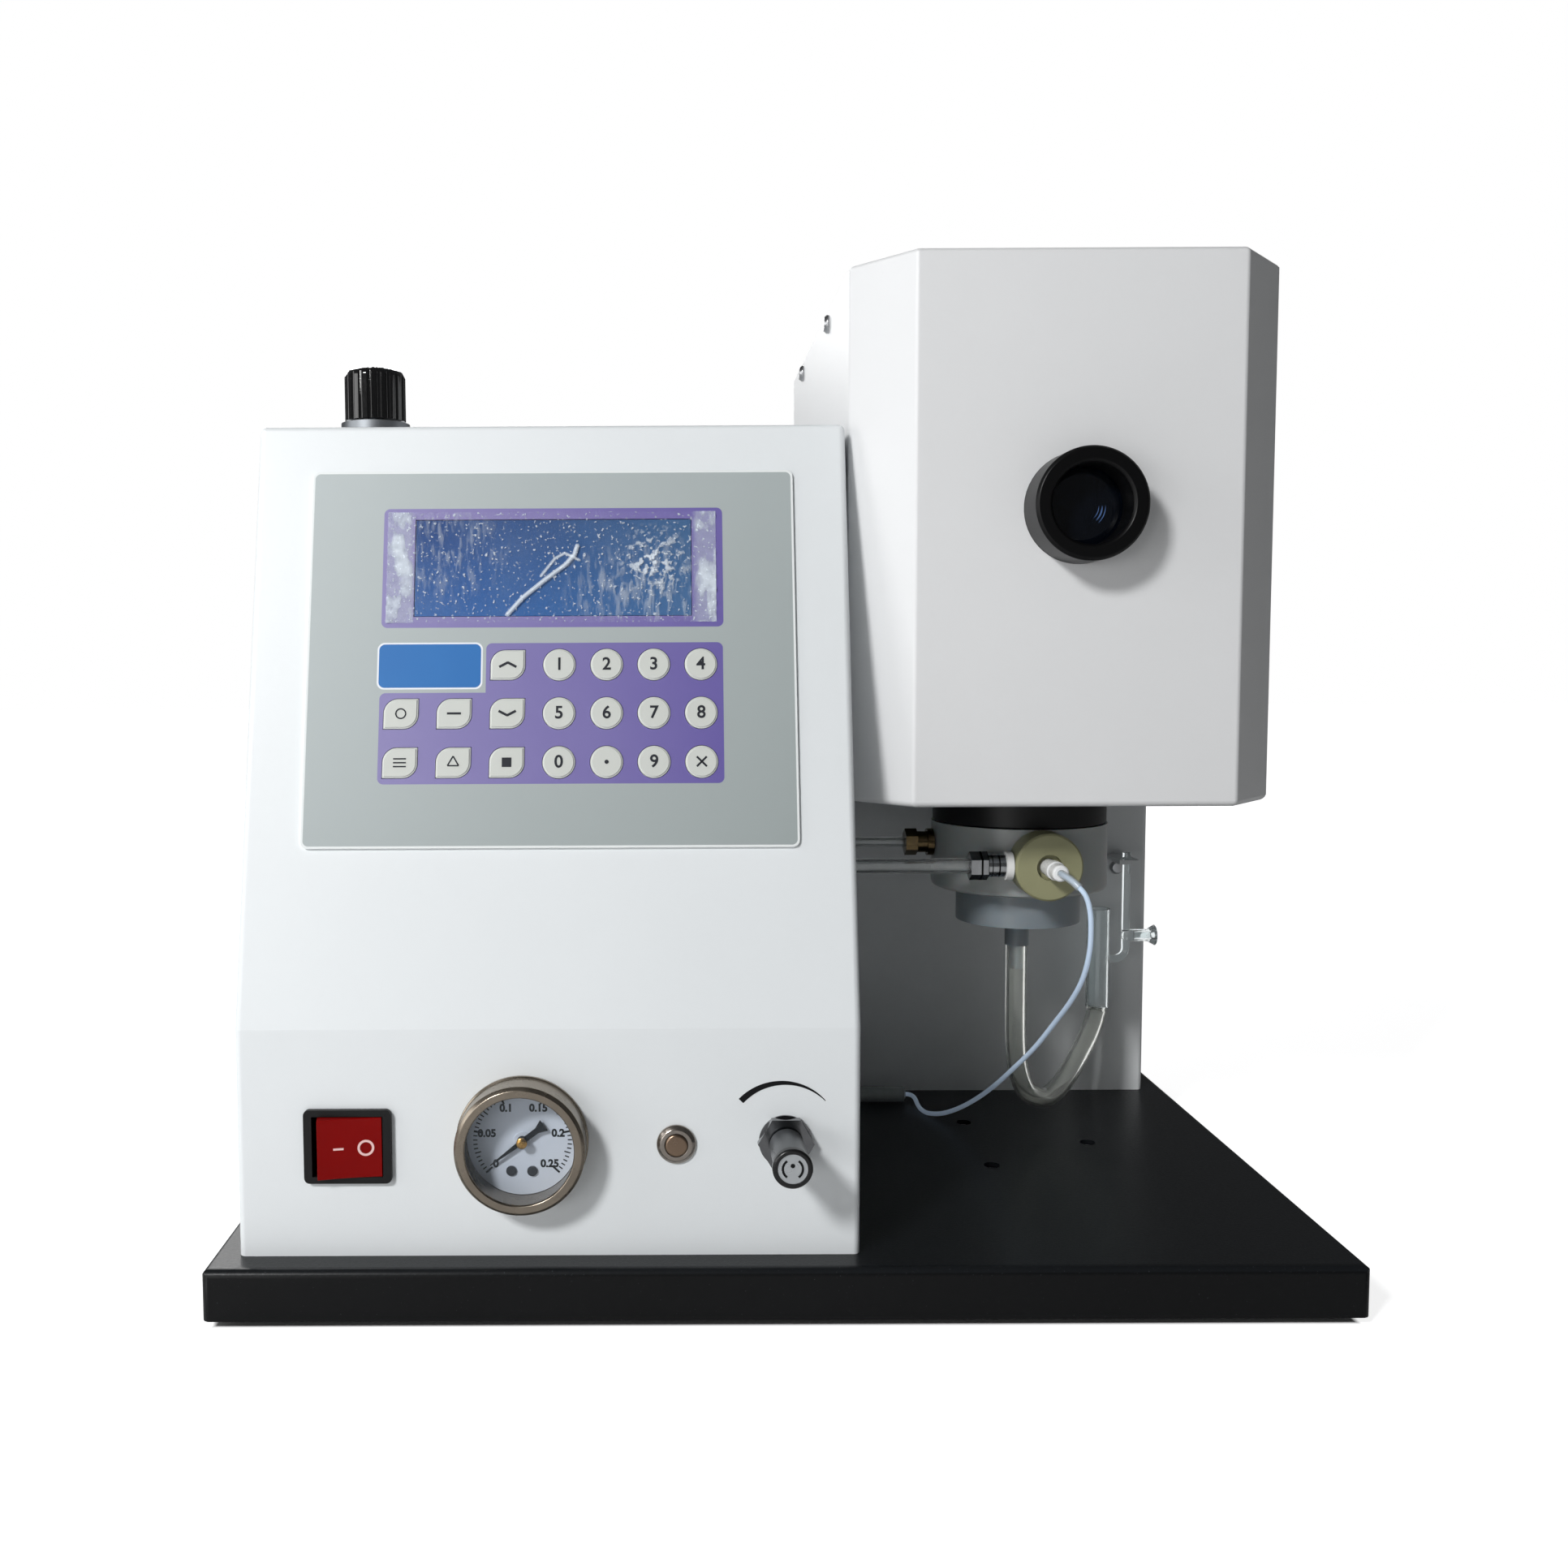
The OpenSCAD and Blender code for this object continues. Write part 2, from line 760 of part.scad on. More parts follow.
// Inside of the console, by its side outline
module console_space() {
    translate([console_left + sheet, 0, 0])
        rotate([90, 0, 90])
            linear_extrude(console_w - 2 * sheet)
                polygon([
                    [front_y + sheet, tray_top - 1],
                    [front_y + sheet, bend_z - sheet * tan(panel_tilt / 2)],
                    [front_y + slope_back + sheet * tan(45 - panel_tilt / 2), console_top - sheet],
                    [rear_y + 1, console_top - sheet], [rear_y + 1, tray_top - 1]
                ]);
}

// Screws of the back plate, as [x, z]
back_screws = concat(
    [
        for (x = [console_left + flange_screw, console_right - flange_screw],
             z = [tray_top + back_screw_ends, tray_top + console_h / 2,
                 console_top - back_screw_ends]) [x, z]
    ],
    [
        for (x = [console_left + console_w / 3, console_right - console_w / 3])
            [x, console_top - flange_screw]
    ]
);

// Inward flanges along the console's lower sides and round its rear
module console_flanges() {
    for (x = [console_left + sheet - eps, console_right - sheet - flange_w + eps])
        translate([x, front_y + 10, tray_top])
            cube([flange_w, housing_d - 10 - sheet, sheet]);
    translate([console_left + sheet - eps, rear_y - sheet, tray_top])
        difference() {
            cube([console_w - 2 * sheet + 2 * eps, sheet, console_h - sheet + eps]);
            translate([flange_w, -1, -1])
                cube([console_w - 2 * sheet - 2 * flange_w, sheet + 2, console_h - sheet - flange_w + 1]);
        }
}

module console_shell() {
    color(steel_white)
    difference() {
        union() {
            difference() {
                console_block();
                console_space();
            }
            console_flanges();
        }
        upright_holes(console_screws, tray_top, sheet);
        level_holes(back_screws, rear_y - sheet, sheet);
        on_slope(console_left + overlay_x + window_x, overlay_s + window_s)
            translate([0, 0, -sheet - 1])
                cube([window_w, window_h, sheet + 2]);
        on_front(switch_pos)
            translate([0, 0, -sheet - 1])
                round_plate(switch_body_w + fit_gap, switch_body_h + fit_gap, sheet + 2, 1);
        on_front(gauge_pos)
            translate([0, 0, -sheet - 1])
                cylinder(d = gauge_body_d + fit_gap, h = sheet + 2);
        on_front(ignition_pos)
            translate([0, 0, -sheet - 1])
                cylinder(d = ignition_barrel_d + fit_gap, h = sheet + 2);
        on_front(valve_pos)
            translate([0, 0, -sheet - 1])
                cylinder(d = valve_barrel_d + fit_gap, h = sheet + 2);
        translate([regulator_pos[0], regulator_pos[1], console_top - sheet - 1])
            cylinder(d = regulator_barrel_d + fit_gap, h = sheet + 2);
        translate([console_right - sheet - 1, air_hose_y, neb_axis_z])
            rotate([0, 90, 0])
                cylinder(d = air_hose_d + 2 * fit_gap, h = sheet + 2);
        translate([console_right - sheet - 1, burner_y, gas_axis_z])
            rotate([0, 90, 0])
                cylinder(d = gas_hose_d + 2 * fit_gap, h = sheet + 2);
    }
}

module console_back() {
    slot_w = 40;
    slot_h = 3;
    slot_pitch = 8;
    slot_count = 8;
    slot_x = [console_left + console_w / 2 - 30, console_left + console_w / 2 + 30];
    color(steel_white)
    difference() {
        translate([console_left + console_w / 2, rear_y, tray_top + console_h / 2])
            rotate([-90, 0, 0])
                round_plate(console_w - 2, console_h - 2, back_plate_t, 3);
        level_holes(concat(back_screws, inlet_screws), rear_y, back_plate_t);
        for (x = slot_x, i = [0:slot_count - 1])
            translate([x, rear_y - 1, console_top - 60 - i * slot_pitch])
                rotate([-90, 0, 0])
                    round_plate(slot_w, slot_h, back_plate_t + 2, slot_h / 2 - eps);
        translate([inlet_x, rear_y - 1, inlet_z])
            rotate([-90, 0, 0])
                round_plate(inlet_w - 2 * inlet_ear + fit_gap, inlet_h - 6 + fit_gap, back_plate_t + 2, 2);
        for (x = barb_x)
            translate([x, rear_y - 1, barb_z])
                rotate([-90, 0, 0])
                    cylinder(d = barb_d + 2 + fit_gap, h = back_plate_t + 2);
    }
}

// ---- Tower and hood ----

module tower_block() {
    hull()
        for (x = [tower_left + fold_r, tower_right - fold_r],
             y = [tower_front + fold_r, rear_y - fold_r])
            translate([x, y, tray_top])
                cylinder(r = fold_r, h = tower_h, $fn = HULL_FN);
}

// Clip over the glass riser: a tab folded forwards from a small plate on the tower's front
module riser_clip() {
    tab_w = 9;
    translate([riser_x - tab_w / 2, trap_y - 4, clip_z - clip_t / 2])
        cube([tab_w, tower_front - trap_y + 4 + eps, clip_t]);
    translate([riser_x - tab_w / 2, tower_front - clip_t, clip_z - 9])
        cube([tab_w, clip_t + eps, 9]);
}

module tower_housing() {
    color(steel_white)
    difference() {
        union() {
            difference() {
                tower_block();
                translate([tower_left + sheet, tower_front + sheet, tray_top - 1])
                    cube([tower_w - 2 * sheet, tower_d - 2 * sheet, tower_h - sheet + 1]);
            }
            for (x = [tower_left + sheet - eps, tower_right - sheet - flange_w + eps])
                translate([x, tower_front + 4, tray_top])
                    cube([flange_w, tower_d - 8, sheet]);
            riser_clip();
        }
        upright_holes(tower_screws, tray_top, sheet);
        upright_holes(deck_screws, tower_top - sheet, sheet);
        translate([riser_x, trap_y, clip_z - clip_t])
            cylinder(d = riser_d + 0.5, h = 2 * clip_t);
        level_holes([[riser_x, clip_z - 5]], tower_front - clip_t, clip_t + sheet);
    }
}

// Screws of the mains inlet, as [x, z], and of the detector's foot, as [x, y]
inlet_screws = [for (side = [-1, 1]) [inlet_x + side * (inlet_w / 2 - 4), inlet_z]];
detector_screws = [for (side = [-1, 1]) [burner_x + side * 22, detector_front + 38]];

// Screws that hold the deck and the hood to the tower, as [x, y]
deck_screws = [
    for (x = [tower_left + 14, tower_right - 14], y = [tower_front + 14, rear_y - 14]) [x, y]
];

// Screws that hold the lid in the hood, as [y, z]
lid_screws = [for (y = [tower_front - 69, tower_front + 35]) [y, hood_top_z - 7]];

module hood_shell() {
    color(hood_grey)
    difference() {
        hull() {
            for (p = hood_outline(fold_r)) {
                translate([p[0], p[1], tower_top + fold_r])
                    sphere(r = fold_r, $fn = HULL_FN);
                translate([p[0], p[1], hood_top_z - sheet - 1])
                    cylinder(r = fold_r, h = 1, $fn = HULL_FN);
            }
        }
        hood_prism(sheet, tower_top - 1, hood_top_z);
        translate([burner_x, hood_front - 1, view_axis_z])
            rotate([-90, 0, 0])
                cylinder(d = view_d + fit_gap, h = sheet + 2);
        lid_holes();
    }
}

module hood_top() {
    slot_w = 44;
    slot_h = 4;
    slot_pitch = 9;
    slot_count = 7;
    color(hood_grey)
    difference() {
        union() {
            intersection() {
                hull()
                    for (p = hood_outline(fold_r), down = [fold_r, 2 * fold_r])
                        translate([p[0], p[1], hood_top_z - down])
                            sphere(r = fold_r, $fn = HULL_FN);
                hood_prism(-1, hood_top_z - sheet, hood_top_z + 1);
            }
            difference() {
                hood_prism(sheet + fit_gap, hood_top_z - lid_rim, hood_top_z - sheet + eps);
                hood_prism(2 * sheet + fit_gap, hood_top_z - lid_rim - 1, hood_top_z - sheet);
            }
        }
        for (i = [0:slot_count - 1])
            translate([
                burner_x, burner_y + (i - (slot_count - 1) / 2) * slot_pitch, hood_top_z - sheet - 1
            ])
                round_plate(slot_w, slot_h, sheet + 2, slot_h / 2 - eps);
        lid_holes();
    }
}

module burner_deck() {
    color("#c4c7ca")
    difference() {
        hood_prism(sheet + fit_gap, tower_top, tower_top + deck_t);
        translate([burner_x, burner_y, tower_top - 1])
            cylinder(d = neck_d + 2 * fit_gap, h = deck_t + 2);
        on_burner_screws(tower_top - 1)
            cylinder(d = screw_hole_d, h = deck_t + 2);
        upright_holes(concat(deck_screws, detector_screws), tower_top, deck_t);
        translate([burner_x, burner_y + igniter_r, tower_top - 1])
            cylinder(d = igniter_d + fit_gap, h = deck_t + 2);
    }
}

module chimney_tube() {
    foot_r = screw_pcd / 2 + 5;
    color("#9b9da0")
    difference() {
        translate([burner_x, burner_y, tower_top + deck_t])
            rotate_extrude()
                polygon([
                    [chimney_d / 2 - chimney_t, 0], [foot_r, 0], [foot_r, flange_t],
                    [chimney_d / 2, flange_t], [chimney_d / 2, chimney_h],
                    [chimney_d / 2 - chimney_t, chimney_h]
                ]);
        translate([burner_x, burner_y - chimney_d, view_axis_z])
            rotate([-90, 0, 0])
                cylinder(d = chimney_window_d, h = 2 * chimney_d);
        on_burner_screws(tower_top + deck_t - 1)
            cylinder(d = screw_hole_d, h = flange_t + 2);
    }
}

// Ceramic rod with a wire that bends over the burner's rim
module spark_igniter() {
    wire_r = 0.8;
    bend_r = 3;
    rod_top = tower_top + head_z - 6;
    wire_top = tower_top + head_z + 8;
    color("#e8e4da")
    translate([burner_x, burner_y + igniter_r, 0]) {
        translate([0, 0, igniter_z])
            cylinder(d = igniter_d, h = rod_top - igniter_z);
        translate([0, 0, rod_top - eps])
            cylinder(r = wire_r, h = wire_top - rod_top + eps);
        translate([0, -bend_r, wire_top])
            rotate([90, 0, 90])
                rotate_extrude(angle = 90)
                    translate([bend_r, 0])
                        circle(wire_r);
        translate([0, -bend_r - 5, wire_top + bend_r])
            rotate([-90, 0, 0])
                cylinder(r = wire_r, h = 5 + eps);
    }
}

// Turned black tube with its flange inside the hood, and a seat for the lens
module viewing_tube() {
    inner_l = 9;
    lens_seat = 4;
    color(dark_plastic)
    translate([burner_x, hood_front, view_axis_z])
        rotate([90, 0, 0])
            rotate_extrude()
                polygon([
                    [view_bore_d / 2, view_proud - 1], [view_bore_d / 2 + 1, view_proud],
                    [view_d / 2 - 1, view_proud], [view_d / 2, view_proud - 1],
                    [view_d / 2, -sheet], [view_d / 2 + 4, -sheet],
                    [view_d / 2 + 4, -sheet - 2.5], [view_d / 2 - 2, -sheet - 2.5],
                    [view_d / 2 - 2, -inner_l], [lens_d / 2 + fit_gap / 2, -inner_l],
                    [lens_d / 2 + fit_gap / 2, lens_seat], [view_bore_d / 2, lens_seat]
                ]);
}

module viewing_lens() {
    color(glass_blue)
    translate([burner_x, hood_front - 4, view_axis_z])
        rotate([-90, 0, 0])
            intersection() {
                cylinder(d = lens_d, h = lens_t);
                translate([0, 0, lens_ball_r])
                    sphere(r = lens_ball_r + 1.5);
                translate([0, 0, lens_t - lens_ball_r])
                    sphere(r = lens_ball_r + 1.5);
            }
}

// ---- Burner ----

module burner_head() {
    hole_d = 2;
    top_z = tower_top + head_z;
    step_z = top_z - 22;
    roof = 3;
    color("#8f8a80")
    translate([burner_x, burner_y, 0])
        difference() {
            rotate_extrude()
                polygon([
                    [neck_bore_d / 2, collar_bottom - spigot_l],
                    [neck_d / 2, collar_bottom - spigot_l], [neck_d / 2, step_z - 2],
                    [head_d / 2, step_z], [head_d / 2, top_z - 1], [head_d / 2 - 1, top_z],
                    [0, top_z], [0, top_z - roof], [neck_bore_d / 2, top_z - roof]
                ]);
            for (i = [0:flame_holes - 1])
                rotate([0, 0, 360 * i / flame_holes])
                    translate([neck_bore_d / 2 - 3, 0, top_z - roof - 1])
                        cylinder(d = hole_d, h = roof + 2);
        }
}

module burner_collar() {
    color(dark_plastic)
    difference() {
        translate([burner_x, burner_y, 0])
            rotate_extrude()
                polygon([
                    [neck_d / 2 + fit_gap / 2, collar_bottom],
                    [collar_d / 2 - 0.6, collar_bottom],
                    [collar_d / 2, collar_bottom + 0.6], [collar_d / 2, tower_top],
                    [neck_d / 2 + fit_gap / 2, tower_top]
                ]);
        on_burner_screws(tower_top - 10)
            cylinder(d = screw_hole_d, h = 11);
        translate([burner_x, burner_y + igniter_r, igniter_z])
            cylinder(d = igniter_d + fit_gap, h = tower_top - igniter_z + 1);
    }
}

// Turned plastic chamber: a wide top, a step and the drain nipple with its barb
module mixing_chamber() {
    seat_r = neck_d / 2 + fit_gap / 2;
    step_r = step_d / 2;
    wide_r = chamber_d / 2;
    nipple_bore_r = 2;
    barb_r = drain_bore_d / 2 - 0.3;
    barb_reach = 10;
    color(milky)
    difference() {
        translate([burner_x, burner_y, 0])
            rotate_extrude()
                polygon([
                    [seat_r, collar_bottom], [wide_r, collar_bottom],
                    [wide_r, chamber_bottom + 2], [wide_r - 0.6, chamber_bottom + 0.6],
                    [wide_r - 2, chamber_bottom], [step_r, chamber_bottom],
                    [step_r, step_bottom], [nipple_d / 2, step_bottom],
                    [nipple_d / 2, nipple_bottom], [barb_r, nipple_bottom],
                    [barb_r, nipple_bottom - barb_reach],
                    [nipple_bore_r, nipple_bottom - barb_reach],
                    [nipple_bore_r, step_bottom + chamber_wall],
                    [step_r - chamber_wall, step_bottom + chamber_wall],
                    [step_r - chamber_wall, chamber_bottom + chamber_wall],
                    [wide_r - chamber_wall, chamber_bottom + chamber_wall],
                    [wide_r - chamber_wall, collar_bottom - spigot_l - 1],
                    [seat_r, collar_bottom - spigot_l - 1]
                ]);
        translate([burner_x, burner_y, neb_axis_z])
            rotate([90, 0, 0])
                cylinder(d = neb_neck_d + fit_gap, h = chamber_d);
        translate([burner_x, burner_y, gas_axis_z])
            rotate([0, -90, 0])
                cylinder(d = gas_hose_d + 1 + fit_gap, h = chamber_d);
    }
}

// Turned disc with a neck in the chamber's wall, a recess in front and an air port on its left
module nebuliser_body() {
    disc_r = neb_d / 2;
    neck_l = 6;
    recess_r = 5;
    recess_deep = 3;
    color("#8c8b6d")
    difference() {
        translate([burner_x, neb_front_y + neb_t, neb_axis_z])
            rotate([90, 0, 0])
                rotate_extrude()
                    polygon([
                        [1.5, -neck_l], [neb_neck_d / 2, -neck_l], [neb_neck_d / 2, 0],
                        [disc_r - 0.6, 0], [disc_r, 0.6], [disc_r, neb_t - 0.8],
                        [disc_r - 0.8, neb_t], [recess_r, neb_t],
                        [recess_r, neb_t - recess_deep],
                        [tip_d / 2 - 0.5 + fit_gap / 2, neb_t - recess_deep],
                        [tip_d / 2 - 0.5 + fit_gap / 2, 1], [1.5, 1]
                    ]);
        translate([burner_x, air_hose_y, neb_axis_z])
            rotate([0, -90, 0])
                translate([0, 0, disc_r - 4])
                    cylinder(d = air_hose_d - 1 + fit_gap, h = 6);
    }
}

// White tip, seated in the disc's bore
module nebuliser_tip() {
    seat_l = neb_t - 1;
    color("#e6e8e4")
    translate([burner_x, neb_front_y, neb_axis_z])
        rotate([90, 0, 0])
            rotate_extrude()
                polygon([
                    [0.6, -seat_l], [tip_d / 2 - 0.5, -seat_l], [tip_d / 2 - 0.5, 4],
                    [tip_d / 2, 4.5], [tip_d / 2, 9], [tip_d / 2 - 0.5, 9.5],
                    [tip_d / 2 - 0.5, tip_l - 0.6], [tip_d / 2 - 1.1, tip_l], [0.6, tip_l]
                ]);
}

// ---- Hoses and fittings ----

fitting_air_end = burner_x - neb_d / 2 - 0.15;
fitting_gas_end = burner_x - chamber_d / 2 - 0.15;

// Straight hose through the console's wall, between two places along X
module side_hose(x0, x1, y, z, d, bore) {
    translate([x0, y, z])
        rotate([0, 90, 0])
            difference() {
                cylinder(d = d, h = x1 - x0);
                translate([0, 0, -1])
                    cylinder(d = bore, h = x1 - x0 + 2);
            }
}

module supply_hoses() {
    color("#c9d2d4") {
        side_hose(console_right - hose_inside, fitting_air_end - air_fitting_l, air_hose_y,
            neb_axis_z, air_hose_d, air_hose_d - 2);
        side_hose(console_right - hose_inside, fitting_gas_end - gas_fitting_l, burner_y,
            gas_axis_z, gas_hose_d, gas_hose_d - 1.6);
    }
}

// Fitting with a hex nut towards the hose, a body, a ring and a spigot, along +X
module side_fitting(l, spigot_d, bore) {
    nut_l = l * 0.42;
    ring_l = 2.6;
    nut_af = fitting_d * sqrt(3) / 2;
    spigot_l = 3;
    rotate([0, 90, 0])
        difference() {
            union() {
                hex(nut_af, nut_l);
                cylinder(d = fitting_d - 2.4, h = l);
                translate([0, 0, l - ring_l])
                    cylinder(d = fitting_d, h = ring_l);
                translate([0, 0, l - eps])
                    cylinder(d = spigot_d, h = spigot_l);
            }
            translate([0, 0, -1])
                cylinder(d = bore, h = l + spigot_l + 2);
        }
}

// Ridged inlet barb with its nut against the back plate, along +Y
module inlet_barb() {
    nut_h = 5;
    ridge = 4;
    ridges = 4;
    bore_r = 2.2;
    core_r = barb_d / 2 - 0.9;
    color("#b9a15e")
    difference() {
        union() {
            translate([0, 0, -10])
                cylinder(d = barb_d + 2, h = 10 + eps);
            hex(14, nut_h);
            cylinder(r = core_r, h = barb_l);
            for (i = [0:ridges - 1])
                translate([0, 0, barb_l - (i + 1) * ridge])
                    cylinder(r1 = barb_d / 2, r2 = core_r - 0.1, h = ridge);
        }
        translate([0, 0, -11])
            cylinder(r = bore_r, h = barb_l + 12);
    }
}

module hose_fittings() {
    color("#c9ccd0")
    translate([fitting_air_end - air_fitting_l, air_hose_y, neb_axis_z])
        side_fitting(air_fitting_l, air_hose_d - 1, 2.5);
    color("#8d7a52")
    translate([fitting_gas_end - gas_fitting_l, burner_y, gas_axis_z])
        side_fitting(gas_fitting_l, gas_hose_d + 1, 2.2);
    for (x = barb_x)
        translate([x, rear_y + back_plate_t, barb_z])
            rotate([-90, 0, 0])
                inlet_barb();
}

module drain_tube() {
    color("#d6d8d2")
        swept_hose(drain_route, drain_d / 2, drain_bore_d / 2, 12, 2);
}

module drain_trap() {
    wall = 1.2;
    arm_end = riser_x - riser_bend_r;
    nozzle_d = 5.7;
    nozzle_l = 10;
    flare_d = 9.5;
    flare_l = 3.4;
    color(glass_blue)
    union() {
        difference() {
            union() {
                translate([trap_x, trap_y, trap_z])
                    cylinder(d = trap_d, h = trap_l);
                translate([trap_x, trap_y, arm_z])
                    rotate([0, 90, 0])
                        cylinder(d = riser_d, h = arm_end - trap_x);
            }
            translate([trap_x, trap_y, trap_z - 1])
                cylinder(d = trap_d - 2 * wall, h = trap_l + 2);
        }
        translate([arm_end, trap_y, arm_z + riser_bend_r])
            rotate([90, 0, 0])
                rotate([0, 0, -90])
                    rotate_extrude(angle = 90)
                        translate([riser_bend_r, 0])
                            circle(d = riser_d);
        translate([riser_x, trap_y, arm_z + riser_bend_r])
            cylinder(d = riser_d, h = riser_top - arm_z - riser_bend_r);
        translate([riser_x, trap_y, nozzle_z])
            rotate([0, 90, 0])
                difference() {
                    union() {
                        cylinder(d = nozzle_d, h = nozzle_l);
                        translate([0, 0, nozzle_l - eps])
                            cylinder(d1 = nozzle_d, d2 = flare_d, h = flare_l);
                    }
                    translate([0, 0, riser_d])
                        cylinder(d = 3, h = nozzle_l + flare_l);
                }
    }
}

module capillary_tube() {
    color("#cfe0f0")
        swept_rod(capillary_route, capillary_d / 2, 8, 3);
}

module capillary_sleeve() {
    last = capillary_route[len(capillary_route) - 1];
    color("#dfe6e8")
    translate(last)
        rotate([0, -90, 0])
            rotate_extrude()
                polygon([
                    [0, 0], [sleeve_d / 2 - 0.8, 0], [sleeve_d / 2, 0.8],
                    [sleeve_d / 2, sleeve_l], [sleeve_d / 2 - 1, sleeve_l],
                    [sleeve_d / 2 - 1, 3], [0, 3]
                ]);
}

// ---- Sloped panel ----

function key_x(k) = console_left + overlay_x + key_columns[KEYS[k][1]];
function key_s(k) = overlay_s + row_first + KEYS[k][2] * row_pitch;

// Outline of a key: a disc, or a leaf with two round and two sharp corners
module key_outline(leaf, grow) {
    if (leaf)
        leaf_outline(leaf_w + 2 * grow, leaf_h + 2 * grow);
    else
        circle(d = key_d + 2 * grow);
}

module leaf_outline(w, h) {
    r = h * 0.48;
    square([w - 2 * r, h], center = true);
    for (side = [-1, 1])
        scale([side, side]) {
            translate([-w / 2, -h / 2])
                square([r + eps, h - r]);
            translate([-w / 2 + r, h / 2 - r])
                circle(r);
        }
}

module membrane_panel() {
    color("#a8b0b0")
    difference() {
        on_slope(console_left + overlay_x + overlay_w / 2, overlay_s + overlay_h / 2)
            round_plate(overlay_w, overlay_h, overlay_t, overlay_r);
        on_slope(console_left + overlay_x + window_x, overlay_s + window_s)
            translate([0, 0, -1])
                cube([window_w, window_h, overlay_t + 2]);
        for (k = [0:len(KEYS) - 1])
            on_slope(key_x(k), key_s(k))
                translate([0, 0, -1])
                    linear_extrude(overlay_t + 2)
                        key_outline(KEYS[k][3], key_gap);
    }
}

// Key cap: a flat skirt and a raised crown one step smaller
module key_cap(k) {
    leaf = KEYS[k][3];
    bottom = key_travel + 0.2;
    color("#d8dad5")
    on_slope(key_x(k), key_s(k)) {
        translate([0, 0, bottom])
            linear_extrude(key_h - 0.4)
                key_outline(leaf, 0);
        translate([0, 0, bottom + key_h - 0.4 - eps])
            linear_extrude(0.4 + eps)
                key_outline(leaf, -0.5);
    }
}

// Display glass in the window, on its board behind the sheet
module display_module() {
    board_edge = 6;
    glass_n = 0.9;
    board_back = 8;
    color("#2b5a96")
    on_slope(console_left + overlay_x + window_x, overlay_s + window_s) {
        translate([fit_gap, fit_gap, -board_back])
            cube([window_w - 2 * fit_gap, window_h - 2 * fit_gap, board_back + glass_n]);
        translate([-board_edge, -board_edge, -board_back])
            cube([window_w + 2 * board_edge, window_h + 2 * board_edge, board_back - sheet]);
    }
}

// ---- Rocker switch ----

module switch_body() {
    hinge_z = rocker_hinge_n;
    deep = switch_body_l;
    color("#2a2627")
    on_front(switch_pos) {
        difference() {
            union() {
                round_plate(bezel_w, bezel_h, bezel_t, 2);
                translate([0, 0, -deep])
                    round_plate(switch_body_w, switch_body_h, deep + eps, 1);
            }
            translate([-switch_cavity_half, -rocker_h / 2 - rocker_gap, -deep + 3])
                cube([2 * switch_cavity_half, rocker_h + 2 * rocker_gap, deep + bezel_t]);
        }
        translate([0, 0, hinge_z])
            rotate([90, 0, 0])
                cylinder(d = rocker_pin_d, h = switch_body_h - 0.4, center = true);
        for (x = [-8, 0, 8])
            translate([x - 0.4, -3, -deep - 9])
                cube([0.8, 6, 9 + eps]);
    }
}

// Rocker at rest: its left end stands out and its right end is pressed in
module switch_rocker() {
    half = rocker_half;
    face = rocker_face;
    color("#a81414")
    on_front(switch_pos)
        translate([0, 0, rocker_hinge_n])
            rotate([0, rocker_swing, 0])
                rotate([90, 0, 0])
                    translate([0, 0, -rocker_h / 2])
                        difference() {
                            linear_extrude(rocker_h)
                                polygon([
                                    [-half, face], [-half * 0.35, face - 0.5],
                                    [half * 0.35, face - 0.5], [half, face],
                                    [half, face - 5.5], [4, -3], [1.5, -5], [-1.5, -5],
                                    [-4, -3], [-half, face - 5.5]
                                ]);
                            translate([0, 0, -1])
                                cylinder(d = rocker_pin_d + 2 * play, h = rocker_h + 2);
                        }
}

// ---- Pressure gauge ----

module gauge_case() {
    ring_r = gauge_d / 2;
    body_r = gauge_body_d / 2;
    window_r = gauge_window_d / 2;
    bore_r = gauge_bore_d / 2;
    ledge_r = bore_r - 1;
    color("#bdb3a6")
    on_front(gauge_pos)
        rotate_extrude()
            polygon([
                [window_r, gauge_h - 0.6], [window_r + 0.4, gauge_h],
                [ring_r - 1.2, gauge_h], [ring_r, gauge_h - 1.2], [ring_r, 1.6],
                [gauge_flange_d / 2, 1.2], [gauge_flange_d / 2, 0], [body_r, 0],
                [body_r, -gauge_depth], [6, -gauge_depth], [6, -gauge_depth - 14],
                [0, -gauge_depth - 14], [0, -gauge_depth + 2], [ledge_r, -gauge_depth + 2],
                [ledge_r, dial_n - dial_t], [bore_r, dial_n - dial_t],
                [bore_r, gauge_h - gauge_lip], [window_r, gauge_h - gauge_lip]
            ]);
}

// Printed dial on its ledge, with the spindle and two small screws
module gauge_dial() {
    dial_r = gauge_bore_d / 2 - 0.1;
    screw_places = [[-4, -10.8], [3.3, -10.9]];
    color("#c5ceda")
    on_front(gauge_pos) {
        translate([0, 0, dial_n - dial_t])
            cylinder(r = dial_r, h = dial_t);
        translate([0, 0, dial_n - eps])
            cylinder(d = spindle_d, h = 3.8);
        translate([0, 0, dial_n - eps])
            cylinder(r = 3, h = 0.6);
        for (p = screw_places)
            translate([p[0], p[1], dial_n - eps])
                cylinder(r = 1.8, h = 0.7);
    }
}

